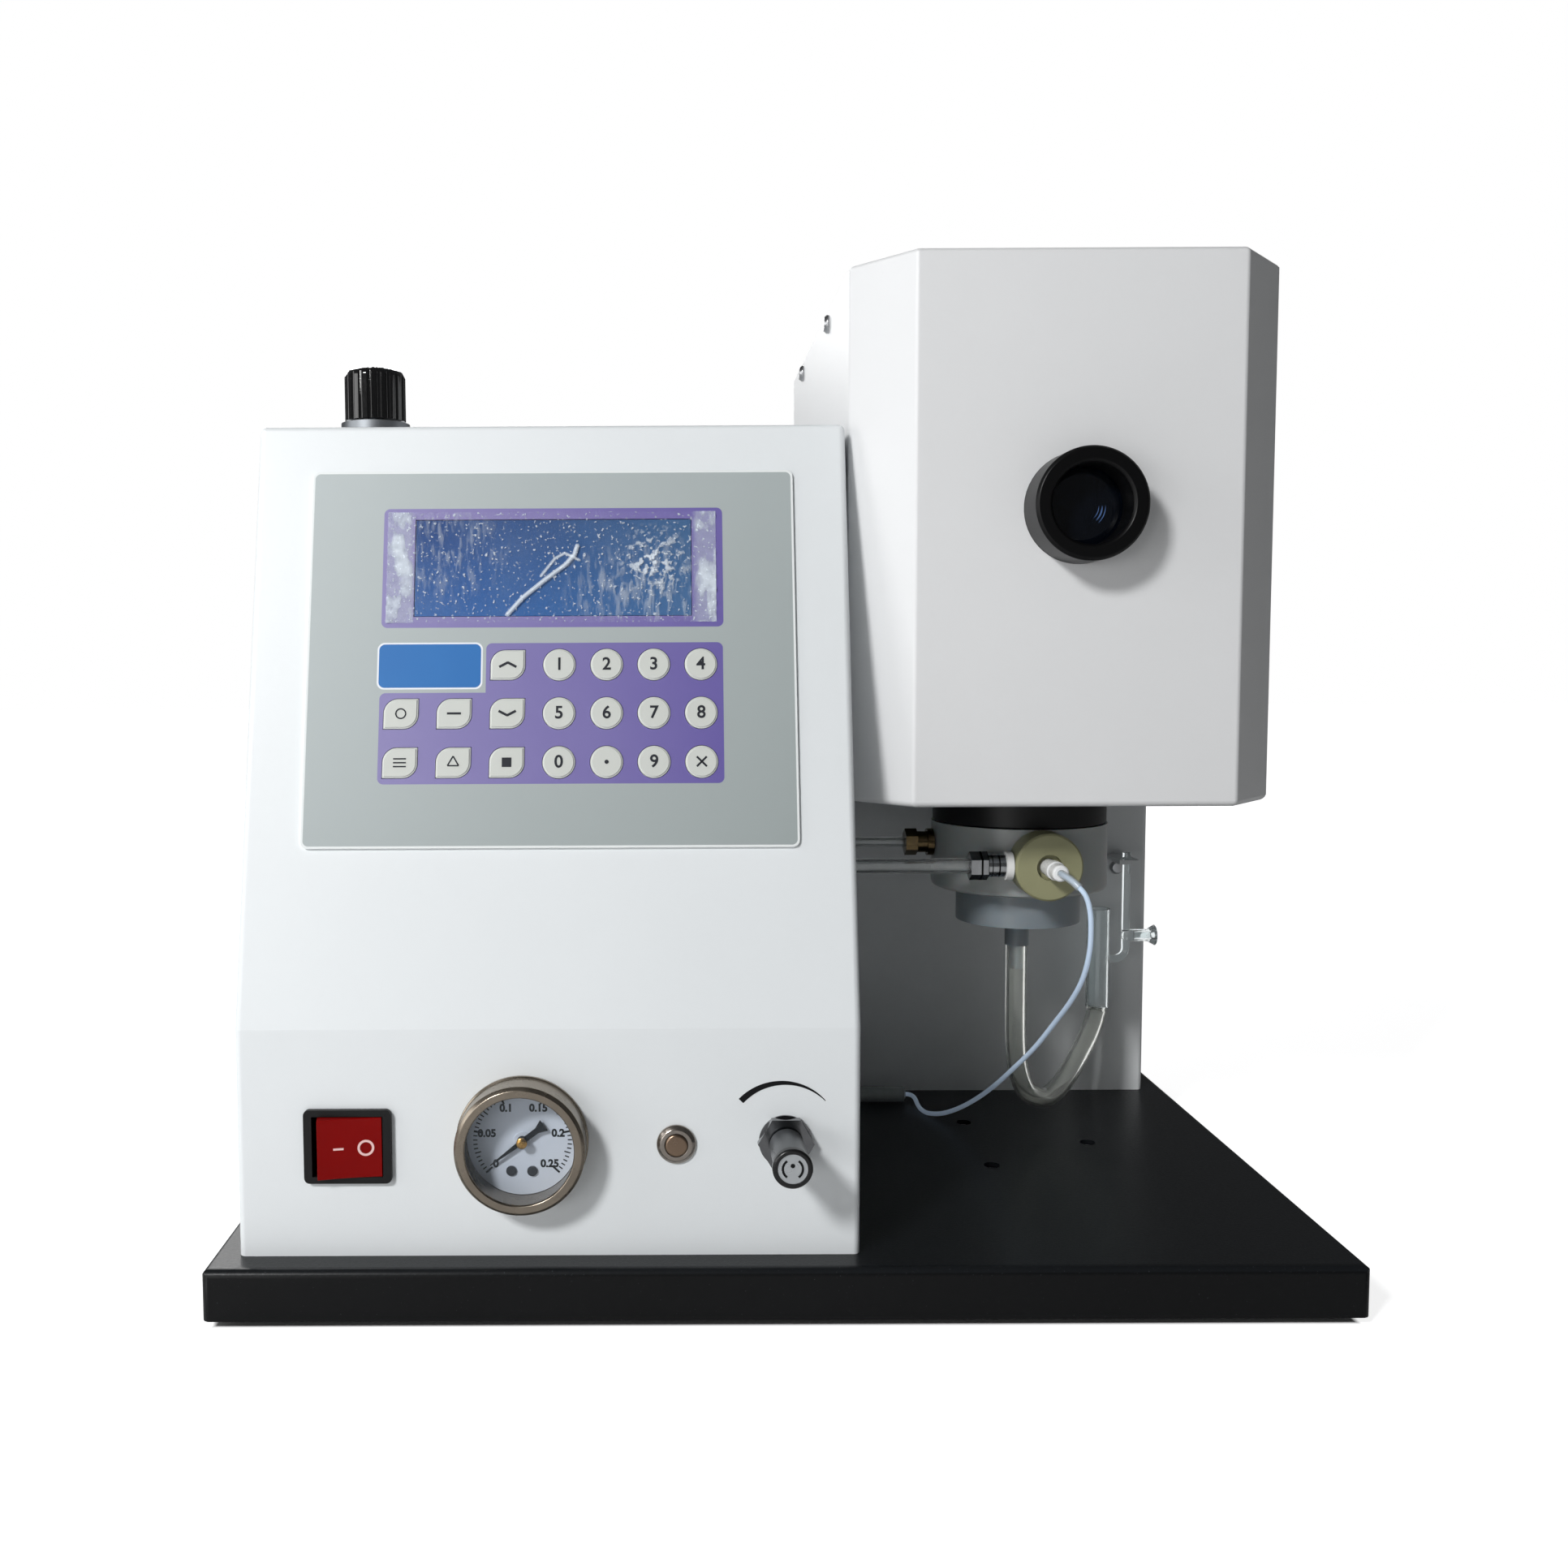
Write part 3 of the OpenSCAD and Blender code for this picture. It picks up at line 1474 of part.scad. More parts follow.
module gauge_pointer() {
    low = 1;
    thick = 0.6;
    hub_r = 1.8;
    tail_half = 2.3;
    color("#141414")
    on_front(gauge_pos)
        rotate([0, 0, pointer_zero])
            difference() {
                union() {
                    translate([0, 0, low])
                        linear_extrude(thick)
                            polygon([
                                [pointer_l, -0.15], [pointer_l, 0.15], [0, 0.9],
                                [-pointer_tail + 3, 1], [-pointer_tail, tail_half],
                                [-pointer_tail, -tail_half], [-pointer_tail + 3, -1],
                                [0, -0.9]
                            ]);
                    translate([0, 0, 0.5])
                        cylinder(r = hub_r, h = 2.4);
                }
                translate([0, 0, -1])
                    cylinder(d = spindle_d + 2 * play, h = 8);
            }
}

module gauge_glass() {
    color(glass_blue)
    on_front(gauge_pos)
        translate([0, 0, gauge_h - gauge_lip - gauge_glass_t])
            cylinder(d = gauge_bore_d - 0.2, h = gauge_glass_t);
}

// ---- Ignition button and gas valve ----

module ignition_body() {
    cap_r = ignition_cap_d / 2 + play;
    barrel_r = ignition_barrel_d / 2;
    bore_end = -8 - ignition_travel - 1.8;
    color("#a08c78")
    on_front(ignition_pos) {
        rotate_extrude()
            polygon([
                [cap_r, 2], [ignition_bezel_d / 2 - 1.4, 2], [ignition_bezel_d / 2, 0.8],
                [ignition_bezel_d / 2, 0], [barrel_r, 0], [barrel_r, -ignition_barrel_l],
                [0, -ignition_barrel_l], [0, bore_end], [cap_r, bore_end]
            ]);
        translate([0, 0, -sheet - 3])
            difference() {
                hex(14, 3);
                translate([0, 0, -1])
                    cylinder(r = barrel_r - eps, h = 5);
            }
    }
}

module ignition_button() {
    r = ignition_cap_d / 2;
    color("#b09a84")
    on_front(ignition_pos)
        rotate_extrude()
            polygon([
                [0, -8], [r, -8], [r, ignition_proud - 0.7],
                [r - 0.3, ignition_proud - 0.2], [r - 1, ignition_proud],
                [0, ignition_proud]
            ]);
}

// Valve block with ports, its barrel through the sheet, washer and hex nut in front
module valve_body() {
    stem_bore = valve_stem_d + 2 * play;
    washer_t = 0.8;
    port_d = 8;
    port_l = 12;
    color("#b8b4a8")
    on_front(valve_pos)
        difference() {
            union() {
                cylinder(d = valve_nut_af + 1.5, h = washer_t);
                translate([0, 0, washer_t - eps])
                    hex(valve_nut_af, valve_nut_h);
                translate([0, 0, -sheet])
                    cylinder(d = valve_barrel_d, h = sheet + eps);
                translate([0, 0, -sheet - valve_body_l])
                    cylinder(d = valve_body_d, h = valve_body_l);
                for (side = [-90, 90])
                    translate([0, 0, -sheet - valve_body_l / 2])
                        rotate([side, 0, 0])
                            cylinder(d = port_d, h = valve_body_d / 2 + port_l);
            }
            translate([0, 0, -16])
                cylinder(d = stem_bore, h = 22);
        }
}

// Knob with its stem in the valve, a wider ring and a disc set in its end
module valve_knob() {
    knob_r = valve_knob_d / 2;
    ring_r = valve_ring_d / 2;
    near = 4.4;
    ring_l = 3;
    color("#8e9294")
    on_front(valve_pos)
        rotate_extrude()
            polygon([
                [0, -15], [valve_stem_d / 2, -15], [valve_stem_d / 2, near],
                [knob_r - 0.5, near], [knob_r, near + 0.5], [knob_r, valve_reach - ring_l],
                [ring_r, valve_reach - ring_l], [ring_r, valve_reach - 0.6],
                [ring_r - 0.6, valve_reach], [5, valve_reach], [5, valve_reach - 0.4],
                [0, valve_reach - 0.4]
            ]);
}

// ---- Gas regulator ----

module regulator_body() {
    stem_top = console_top + regulator_nut_h + 14;
    body_bottom = console_top - sheet - regulator_body_h;
    port_d = 10;
    color("#6f7478")
    translate([regulator_pos[0], regulator_pos[1], 0])
        union() {
            translate([0, 0, body_bottom])
                rotate_extrude()
                    polygon([
                        [0, 0], [regulator_body_d / 2 - 3, 0], [regulator_body_d / 2, 3],
                        [regulator_body_d / 2, 26], [regulator_body_d / 2 - 4, 32],
                        [regulator_barrel_d / 2 + 3, regulator_body_h],
                        [0, regulator_body_h]
                    ]);
            translate([0, 0, body_bottom + regulator_body_h - eps])
                cylinder(d = regulator_barrel_d, h = sheet + 2 * eps);
            translate([0, 0, console_top])
                cylinder(d = regulator_nut_d, h = regulator_nut_h);
            translate([0, 0, console_top + regulator_nut_h - eps])
                cylinder(d = regulator_stem_d, h = stem_top - console_top - regulator_nut_h);
            for (side = [-90, 90])
                translate([0, 0, body_bottom + 14])
                    rotate([side, 0, 0])
                        cylinder(d = port_d, h = regulator_body_d / 2 + 8);
        }
}

// Turned knob with a bevelled top and flutes cut round its side
module regulator_knob() {
    r = regulator_knob_d / 2;
    low = console_top + regulator_nut_h + 1;
    high = low + regulator_knob_h;
    flute_r = 1.1;
    color("#101011")
    translate([regulator_pos[0], regulator_pos[1], 0])
        difference() {
            rotate_extrude()
                polygon([
                    [regulator_stem_d / 2 + play, low], [r, low], [r, high - 3],
                    [r - 1, high - 1], [r - 3, high], [0, high], [0, high - 4],
                    [regulator_stem_d / 2 + play, high - 4]
                ]);
            for (i = [0:regulator_flutes - 1])
                rotate([0, 0, 360 * i / regulator_flutes])
                    translate([r + 0.5, 0, low - 1])
                        cylinder(r = flute_r, h = regulator_knob_h);
        }
}

// ---- Inside ----

// Light-tight block with its entrance tube, on a pedestal behind the chimney
module detector_block() {
    block_w = 60;
    block_d = 80;
    block_h = 56;
    front = detector_front;
    floor_z = tower_top + deck_t;
    low = view_axis_z - block_h / 2;
    foot_t = detector_foot_t;
    color("#26282a")
    difference() {
        union() {
            translate([burner_x - block_w / 2, front, low])
                cube([block_w, block_d, block_h]);
            translate([burner_x, front + eps, view_axis_z])
                rotate([90, 0, 0])
                    cylinder(d = chimney_window_d + 6, h = 22);
            translate([burner_x - 15, front + 20, floor_z])
                cube([30, 36, low - floor_z + eps]);
            translate([burner_x - 28, front + 10, floor_z])
                cube([56, 56, foot_t]);
        }
        translate([burner_x, front - 30, view_axis_z])
            rotate([-90, 0, 0])
                cylinder(d = chimney_window_d, h = 60);
        upright_holes(detector_screws, floor_z, foot_t);
    }
}

// Circuit board on posts, with its transformer, relay and capacitors
module main_board() {
    board_z = tray_top + board_post_h;
    color("#2f6b45")
    difference() {
        union() {
            translate([board_left, board_front, board_z])
                cube([board_w, board_d, board_t]);
            for (p = board_screws)
                translate([p[0], p[1], tray_top])
                    cylinder(d = board_post_d, h = board_post_h + eps);
            translate([board_left + 14, board_front + 40, board_z + board_t - eps])
                cube([transformer_w, transformer_d, transformer_h]);
            translate([board_left + 80, board_front + 60, board_z + board_t - eps])
                cube([28, 13, 16]);
            for (i = [0:2])
                translate([board_left + 78 + i * 22, board_front + 22, board_z + board_t - eps])
                    cylinder(d = 16, h = 25);
        }
        upright_holes(board_screws, tray_top, board_post_h + board_t);
    }
}

// Three-pin inlet socket with fixing ears
module mains_inlet() {
    socket_w = inlet_w - 2 * inlet_ear;
    socket_h = inlet_h - 6;
    face_t = 3;
    deep = 22;
    color(dark_plastic)
    on_back(inlet_x, inlet_z) {
        difference() {
            union() {
                round_plate(inlet_w, inlet_h, face_t, 3);
                translate([0, 0, -deep])
                    round_plate(socket_w, socket_h, deep + eps, 2);
            }
            translate([0, 0, -deep + 4])
                round_plate(socket_w - 3, socket_h - 3, deep + face_t, 1.5);
            for (side = [-1, 1])
                translate([side * (inlet_w / 2 - 4), 0, -1])
                    cylinder(d = screw_hole_d, h = face_t + 2);
        }
        for (p = [[0, 3], [-7, -3], [7, -3]])
            translate([p[0] - 1, p[1] - 2, -deep + 4 - eps])
                cube([2, 4, 14]);
    }
}

// ---- Screws ----

module case_screws() {
    color("#c0c2c4") {
        for (p = back_screws)
            translate([p[0], rear_y + back_plate_t, p[1]])
                rotate([-90, 0, 0])
                    screw(back_plate_t + 6);
        for (p = lid_screws) {
            translate([tower_left, p[0], p[1]])
                rotate([0, -90, 0])
                    screw(8);
            translate([tower_right, p[0], p[1]])
                rotate([0, 90, 0])
                    screw(8);
        }
        on_burner_screws(tower_top + deck_t + flange_t)
            screw(deck_t + flange_t + 8);
        for (p = tray_screws)
            translate([p[0], p[1], tray_ceiling])
                rotate([180, 0, 0])
                    screw(tray_t + sheet + 4);
        for (p = deck_screws)
            translate([p[0], p[1], tower_top + deck_t])
                screw(deck_t + sheet + 4);
        for (p = board_screws)
            translate([p[0], p[1], tray_top + board_post_h + board_t])
                screw(board_post_h + board_t + tray_t);
        translate([riser_x, tower_front - clip_t, clip_z - 5])
            rotate([90, 0, 0])
                screw(clip_t + sheet + 3, 6.4);
        for (p = inlet_screws)
            translate([p[0], rear_y + back_plate_t + 3, p[1]])
                rotate([-90, 0, 0])
                    screw(10, 6.4);
        for (p = detector_screws)
            translate([p[0], p[1], tower_top + deck_t + detector_foot_t])
                screw(5);
    }
}

// ---- All nodes ----

base_plate();
rubber_feet();
console_shell();
console_back();
tower_housing();
hood_shell();
hood_top();
burner_deck();
chimney_tube();
spark_igniter();
viewing_tube();
viewing_lens();
burner_head();
burner_collar();
mixing_chamber();
nebuliser_body();
nebuliser_tip();
capillary_tube();
capillary_sleeve();
supply_hoses();
hose_fittings();
drain_tube();
drain_trap();
membrane_panel();
display_module();
switch_body();
switch_rocker();
gauge_case();
gauge_dial();
gauge_pointer();
gauge_glass();
ignition_body();
ignition_button();
valve_body();
valve_knob();
regulator_body();
regulator_knob();
detector_block();
main_board();
mains_inlet();
case_screws();
for (k = [0:len(KEYS) - 1])
    key_cap(k);
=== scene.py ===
# %% [markdown]
# # A bench flame photometer, dressed
# The construction comes in finished from the frame: every housing, knob and key at its real size.
# This script gives it its surfaces, its clear tubes and its printed marks. Each step says what the
# piece is on the real instrument, how it could be made, and why this way was chosen.

# %% Load the frame
import json
import math

import bpy
from mathutils import Matrix, Vector

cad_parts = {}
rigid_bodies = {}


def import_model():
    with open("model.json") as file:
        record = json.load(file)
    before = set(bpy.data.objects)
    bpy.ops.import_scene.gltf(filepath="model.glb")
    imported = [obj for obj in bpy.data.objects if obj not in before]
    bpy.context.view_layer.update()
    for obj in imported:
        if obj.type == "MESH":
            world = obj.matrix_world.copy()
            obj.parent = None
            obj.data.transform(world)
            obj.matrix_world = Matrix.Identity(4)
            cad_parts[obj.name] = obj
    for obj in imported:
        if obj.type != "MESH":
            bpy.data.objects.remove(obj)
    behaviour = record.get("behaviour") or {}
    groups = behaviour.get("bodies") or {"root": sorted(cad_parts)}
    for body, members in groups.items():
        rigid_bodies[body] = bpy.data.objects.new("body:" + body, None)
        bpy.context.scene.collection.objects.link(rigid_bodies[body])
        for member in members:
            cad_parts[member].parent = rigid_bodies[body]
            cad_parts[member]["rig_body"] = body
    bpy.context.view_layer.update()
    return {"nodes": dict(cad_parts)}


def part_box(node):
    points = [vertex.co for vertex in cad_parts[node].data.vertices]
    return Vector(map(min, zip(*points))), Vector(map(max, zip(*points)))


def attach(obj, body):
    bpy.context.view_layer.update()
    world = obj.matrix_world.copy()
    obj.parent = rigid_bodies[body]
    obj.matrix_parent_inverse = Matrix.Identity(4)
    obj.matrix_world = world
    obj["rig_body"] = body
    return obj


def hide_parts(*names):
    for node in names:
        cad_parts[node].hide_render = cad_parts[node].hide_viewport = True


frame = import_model()
nodes = frame["nodes"]
MM = 0.001

# %% [markdown]
# ## The camera
# The instrument was photographed almost square on, from a little above the console's top. A camera
# could be placed by eye, but its place was worked out from the straight edges and round parts
# that the picture shows, so that every piece lands on its own pixel. The picture is a crop whose
# middle isn't on the lens's axis, which is what the two small shifts stand for.

# %% Camera
PHOTO_SIDE = 1932
FOCAL_PIXELS = 1774.5
AXIS_PIXEL = (806.5, 935.8)
SENSOR = 36.0
PITCH = math.radians(4.042)
YAW = math.radians(0.132)
ROLL = math.radians(-0.266)
CAMERA_PLACE = Vector((-42.9, -627.5, 229.0)) * MM

ahead = Vector((-math.sin(YAW) * math.cos(PITCH), math.cos(YAW) * math.cos(PITCH), -math.sin(PITCH)))
level = Vector((math.cos(YAW), math.sin(YAW), 0.0))
lift = level.cross(ahead)
across = math.cos(ROLL) * level + math.sin(ROLL) * lift
upwards = -math.sin(ROLL) * level + math.cos(ROLL) * lift

camera_data = bpy.data.cameras.new("photo_camera")
camera_data.sensor_fit = "HORIZONTAL"
camera_data.sensor_width = SENSOR
camera_data.lens = FOCAL_PIXELS * SENSOR / PHOTO_SIDE
camera_data.shift_x = (PHOTO_SIDE / 2 - AXIS_PIXEL[0]) / PHOTO_SIDE
camera_data.shift_y = (AXIS_PIXEL[1] - PHOTO_SIDE / 2) / PHOTO_SIDE
camera_data.clip_start = 0.01
camera_data.clip_end = 50.0
camera = bpy.data.objects.new("photo_camera", camera_data)
bpy.context.scene.collection.objects.link(camera)
turn = Matrix((across, upwards, -ahead)).transposed().to_4x4()
camera.matrix_world = Matrix.Translation(CAMERA_PLACE) @ turn
bpy.context.scene.camera = camera
print("lens", round(camera_data.lens, 2), "mm")
print("shift", round(camera_data.shift_x, 4), round(camera_data.shift_y, 4))

# %% [markdown]
# ## Light, floor and background
# The picture was lit from the upper left and cut out on white. A small key lamp makes the shadow
# of the viewing tube and lets the hood's right chamfer fall dark. A low and a left lamp open the
# shadows. A back lamp lights the rear; it stands behind the console, so that it leaves no sheen on
# the tray. The floor is a plain pale sheet that keeps the instrument's own shadow. The white comes
# from what the camera sees of the world, and not from more light on the paint.

# %% Lamps
def soft_lamp(name, place, target, size, power):
    data = bpy.data.lights.new(name, "AREA")
    data.shape = "RECTANGLE"
    data.size, data.size_y = size
    data.energy = power
    lamp = bpy.data.objects.new(name, data)
    bpy.context.scene.collection.objects.link(lamp)
    aim = (Vector(target) - Vector(place)).to_track_quat("-Z", "Y")
    lamp.matrix_world = Matrix.Translation(place) @ aim.to_matrix().to_4x4()
    return lamp


soft_lamp("key_lamp", (-1.0, -1.45, 1.15), (0.0, -0.05, 0.16), (0.28, 0.28), 25.5)
soft_lamp("low_lamp", (-1.15, -1.75, 0.24), (0.0, 0.0, 0.2), (1.0, 0.4), 5.5)
soft_lamp("left_lamp", (-1.6, -0.5, 0.5), (-0.1, 0.0, 0.2), (0.8, 0.7), 4.5)
soft_lamp("back_lamp", (-0.75, 1.7, 1.1), (0.0, 0.05, 0.15), (1.0, 0.8), 13.0)

# %% World and floor
WORLD_GREY = (0.86, 0.88, 0.90)
WORLD_LEVEL = 0.10
FLOOR_GLOW = 0.82

world = bpy.data.worlds.new("studio")
bpy.context.scene.world = world
world.use_nodes = True
sky = world.node_tree
lit = sky.nodes["Background"]
lit.inputs["Color"].default_value = (*WORLD_GREY, 1.0)
lit.inputs["Strength"].default_value = WORLD_LEVEL
seen = sky.nodes.new("ShaderNodeBackground")
seen.inputs["Color"].default_value = (1.0, 1.0, 1.0, 1.0)
seen.inputs["Strength"].default_value = 1.0
rays = sky.nodes.new("ShaderNodeLightPath")
either = sky.nodes.new("ShaderNodeMath")
either.operation = "MAXIMUM"
chosen = sky.nodes.new("ShaderNodeMixShader")
sky.links.new(rays.outputs["Is Camera Ray"], either.inputs[0])
sky.links.new(rays.outputs["Is Transmission Ray"], either.inputs[1])
sky.links.new(either.outputs[0], chosen.inputs[0])
sky.links.new(lit.outputs[0], chosen.inputs[1])
sky.links.new(seen.outputs[0], chosen.inputs[2])
sky.links.new(chosen.outputs[0], sky.nodes["World Output"].inputs["Surface"])
bpy.context.scene.view_settings.view_transform = "Standard"

bpy.ops.object.select_all(action="DESELECT")
bpy.ops.mesh.primitive_plane_add(size=12.0, location=(0.0, 0.0, -0.0002))
floor = bpy.context.object
floor.name = "studio_floor"

# %% [markdown]
# ## Shader maths as plain expressions
# A finish is a chain of nodes. Wiring each by hand hides what it computes, so one small class
# stands for an output and lets ordinary operators add the Math nodes, and a second holds a
# material and the few calls that every finish needs.

# %% Channel and Finish
def plug(tree, slot, value):
    if isinstance(value, Channel):
        tree.links.new(value.socket, slot)
    elif slot.type == "RGBA" and len(value) == 3:
        slot.default_value = (*value, 1.0)
    else:
        slot.default_value = value


class Channel:
    """One output of a node, on which the usual operators work."""

    def __init__(self, tree, socket):
        self.tree = tree
        self.socket = socket

    def math(self, operation, *values, clamp=False):
        node = self.tree.nodes.new("ShaderNodeMath")
        node.operation = operation
        node.use_clamp = clamp
        for slot, value in zip(node.inputs, values):
            plug(self.tree, slot, value)
        return Channel(self.tree, node.outputs[0])

    def __add__(self, other):
        return self.math("ADD", self, other)

    def __radd__(self, other):
        return self.math("ADD", other, self)

    def __sub__(self, other):
        return self.math("SUBTRACT", self, other)

    def __rsub__(self, other):
        return self.math("SUBTRACT", other, self)

    def __mul__(self, other):
        return self.math("MULTIPLY", self, other)

    def __rmul__(self, other):
        return self.math("MULTIPLY", other, self)

    def __truediv__(self, other):
        return self.math("DIVIDE", self, other)

    def __pow__(self, other):
        return self.math("POWER", self, other)

    def __abs__(self):
        return self.math("ABSOLUTE", self)

    def root(self):
        return self.math("SQRT", self)

    def above(self, other):
        return self.math("MAXIMUM", self, other)

    def below(self, other):
        return self.math("MINIMUM", self, other)

    def clamped(self):
        return self.math("ADD", self, 0.0, clamp=True)


class Finish:
    """A material on the Principled shader, with calls named for what they do to a surface."""

    def __init__(self, name, colour, roughness=0.5, metallic=0.0, **constants):
        self.material = bpy.data.materials.new(name)
        self.material.use_nodes = True
        self.tree = self.material.node_tree
        self.shader = self.tree.nodes["Principled BSDF"]
        self.set("Base Color", colour)
        self.set("Roughness", roughness)
        self.set("Metallic", metallic)
        for key, value in constants.items():
            self.set(key.replace("_", " "), value)

    def set(self, name, value):
        plug(self.tree, self.shader.inputs[name], value)

    def base(self):
        """What the base colour has been given so far, to be mixed further."""
        return Channel(self.tree, self.shader.inputs["Base Color"].links[0].from_socket)

    def node(self, kind, settings=None, **values):
        made = self.tree.nodes.new(kind)
        for key, value in (settings or {}).items():
            setattr(made, key, value)
        for key, value in values.items():
            plug(self.tree, made.inputs[key.replace("_", " ")], value)
        return made

    def place(self):
        """The point of the object, as its x, y and z in metres."""
        point = self.node("ShaderNodeTexCoord").outputs["Object"]
        parts = self.node("ShaderNodeSeparateXYZ", Vector=Channel(self.tree, point))
        return [Channel(self.tree, out) for out in parts.outputs]

    def noise(self, scale, detail=2.0, stretch=(1.0, 1.0, 1.0), roughness=0.5):
        point = Channel(self.tree, self.node("ShaderNodeTexCoord").outputs["Object"])
        mapped = self.node("ShaderNodeMapping", Vector=point, Scale=stretch)
        made = self.node("ShaderNodeTexNoise", Vector=Channel(self.tree, mapped.outputs[0]),
                         Scale=scale, Detail=detail, Roughness=roughness)
        return Channel(self.tree, made.outputs[0])

    def mix(self, first, second, share):
        made = self.tree.nodes.new("ShaderNodeMix")
        made.data_type = "RGBA"
        plug(self.tree, made.inputs[0], share)
        plug(self.tree, made.inputs[6], first)
        plug(self.tree, made.inputs[7], second)
        return Channel(self.tree, made.outputs[2])

    def bump(self, height, depth, strength=1.0):
        made = self.node("ShaderNodeBump", Height=height, Distance=depth, Strength=strength)
        self.set("Normal", Channel(self.tree, made.outputs[0]))


def hex_colour(text):
    """A colour as painters write it, turned to the light values that a shader takes."""
    parts = [int(text[i:i + 2], 16) / 255 for i in (1, 3, 5)]
    return tuple(v / 12.92 if v <= 0.04045 else ((v + 0.055) / 1.055) ** 2.4 for v in parts)


def shaded(text, factor):
    return tuple(min(1.0, v * factor) for v in hex_colour(text))


def swing(finish, colour, variation, share):
    """Lets the base colour go a little darker and lighter along a noise."""
    finish.set("Base Color", finish.mix(shaded(colour, 1 - variation), shaded(colour, 1 + variation), share))

# %% [markdown]
# ## Finishes that several pieces share
# Powder coat isn't smooth: it has a fine orange peel, and its gloss varies a little with it. A
# moulded plastic has a finer grain. Turned metal carries rings of tool marks, so its roughness
# follows a noise that is drawn out along the surface. Each of these is one function with the
# scale of its grain in real millimetres.

# %% Paint, plastic and metal
def painted(name, colour, grain_mm=1.1, roughness=0.42, depth=0.00004, variation=0.035):
    finish = Finish(name, hex_colour(colour), roughness)
    broad = finish.noise(9.0, 3.0)
    swing(finish, colour, variation, broad)
    grain = finish.noise(1 / (grain_mm * MM), 2.0)
    finish.set("Roughness", grain * 0.12 + (roughness - 0.06))
    finish.bump(grain, depth, 0.5)
    return finish


def moulded(name, colour, roughness=0.4, grain_mm=0.5, depth=0.00001, variation=0.06, **constants):
    finish = Finish(name, hex_colour(colour), roughness, **constants)
    cloud = finish.noise(60.0, 3.0)
    swing(finish, colour, variation, cloud)
    grain = finish.noise(1 / (grain_mm * MM), 2.0)
    finish.set("Roughness", grain * 0.1 + (roughness - 0.05))
    finish.bump(grain, depth, 0.4)
    return finish


def turned_metal(name, colour, roughness=0.25, stretch=(1.0, 30.0, 1.0), scale=90.0, variation=0.16):
    finish = Finish(name, hex_colour(colour), roughness, 1.0)
    marks = finish.noise(scale, 4.0, stretch, 0.6)
    swing(finish, colour, variation, marks)
    finish.set("Roughness", marks * 0.22 + (roughness - 0.1))
    return finish


def clear_plastic(name, colour, roughness=0.12, alpha=0.35, ior=1.42):
    """Clear sheet or glass, as a thin glossy film that lets most light by."""
    finish = Finish(name, hex_colour(colour), roughness, IOR=ior)
    streaks = finish.noise(160.0, 3.0)
    finish.set("Alpha", streaks * (alpha * 0.5) + alpha * 0.75)
    finish.set("Roughness", streaks * 0.1 + (roughness - 0.04))
    return finish


def clear_tubing(name, colour, roughness=0.06, ior=1.4, edge="#77736a"):
    """Clear material with a real wall: it bends the light behind it and is denser at its edge."""
    finish = Finish(name, hex_colour(colour), roughness, Transmission_Weight=0.94, IOR=ior)
    streaks = finish.noise(120.0, 3.0, (1.0, 1.0, 0.3))
    body = finish.mix(shaded(colour, 0.94), shaded(colour, 1.04), streaks)
    facing = Channel(finish.tree, finish.node("ShaderNodeLayerWeight", Blend=0.5).outputs["Facing"])
    finish.set("Base Color", finish.mix(body, hex_colour(edge), facing ** 4.0 * 0.8))
    finish.set("Roughness", streaks * 0.08 + (roughness - 0.03))
    return finish


white_paint = painted("white_powder_coat", "#e4e8ea")
tower_paint = painted("tower_powder_coat", "#dcdfe0")
hood_paint = painted("hood_powder_coat", "#e2e3e4")
black_plastic = moulded("black_plastic", "#0d0d0e", 0.42, Specular_IOR_Level=0.3)
screw_steel = turned_metal("screw_plate", "#b5b6b8", 0.28, (1.0, 1.0, 1.0), 300.0, 0.12)
print(len(bpy.data.materials), "materials so far")

# %% [markdown]
# ## The black tray's own coat
# The tray has a coarser coat than the housings, black with a satin gloss in which the console
# shows softly, and fine pale specks where dust has settled. Its top is painted lighter than its
# front: a painted sheen for the light that falls on it from above.

# %% Tray coat
TRAY_TOP_START = 0.0190
tray_coat = Finish("tray_powder_coat", hex_colour("#0b0c0d"), 0.34, Specular_IOR_Level=0.22)
tray_grain = tray_coat.noise(900.0, 2.0)
tray_cloud = tray_coat.noise(14.0, 4.0)
tray_dust = ((tray_coat.noise(1700.0, 1.0) - 0.72) * 12.0).clamped()
tray_base = tray_coat.mix(hex_colour("#08090a"), hex_colour("#0e0f11"), tray_cloud)
# Painted sheen: above this height the coat is painted lighter, for the light on the tray's top.
tray_z = tray_coat.place()[2]
painted_top_sheen = ((tray_z - TRAY_TOP_START) * 2500.0).clamped()
tray_base = tray_coat.mix(tray_base, hex_colour("#1d2023"), painted_top_sheen * 0.5)
tray_coat.set("Base Color", tray_coat.mix(tray_base, hex_colour("#6a6e73"), tray_dust * 0.3))
tray_coat.set("Roughness", tray_grain * 0.16 + 0.24)
tray_coat.bump(tray_grain, 0.00006, 0.55)

# %% [markdown]
# ## Places on the console
# The upright front and the sloped panel each have their own flat drawing, so a print or a mark is
# placed by two lengths on its sheet. A matrix for each turns those lengths into the frame.

# %% Sheets of the console
PANEL_TILT = math.radians(13.5)
FRONT_HEIGHT = 80.0 * MM
console_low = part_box("console_shell")[0]
FRONT_Y = console_low.y
BEND_Z = console_low.z + FRONT_HEIGHT


def on_front(x, z):
    """Matrix of the upright front: local X across, Y up, Z outwards."""
    return Matrix.Translation((x, FRONT_Y, z)) @ Matrix.Rotation(math.radians(90), 4, "X")


def on_slope(x, s):
    """Matrix of the sloped panel at a length s above the bend."""
    slope = Matrix.Rotation(math.radians(90) - PANEL_TILT, 4, "X")
    return Matrix.Translation((0.0, FRONT_Y, BEND_Z)) @ slope @ Matrix.Translation((x, s, 0.0))


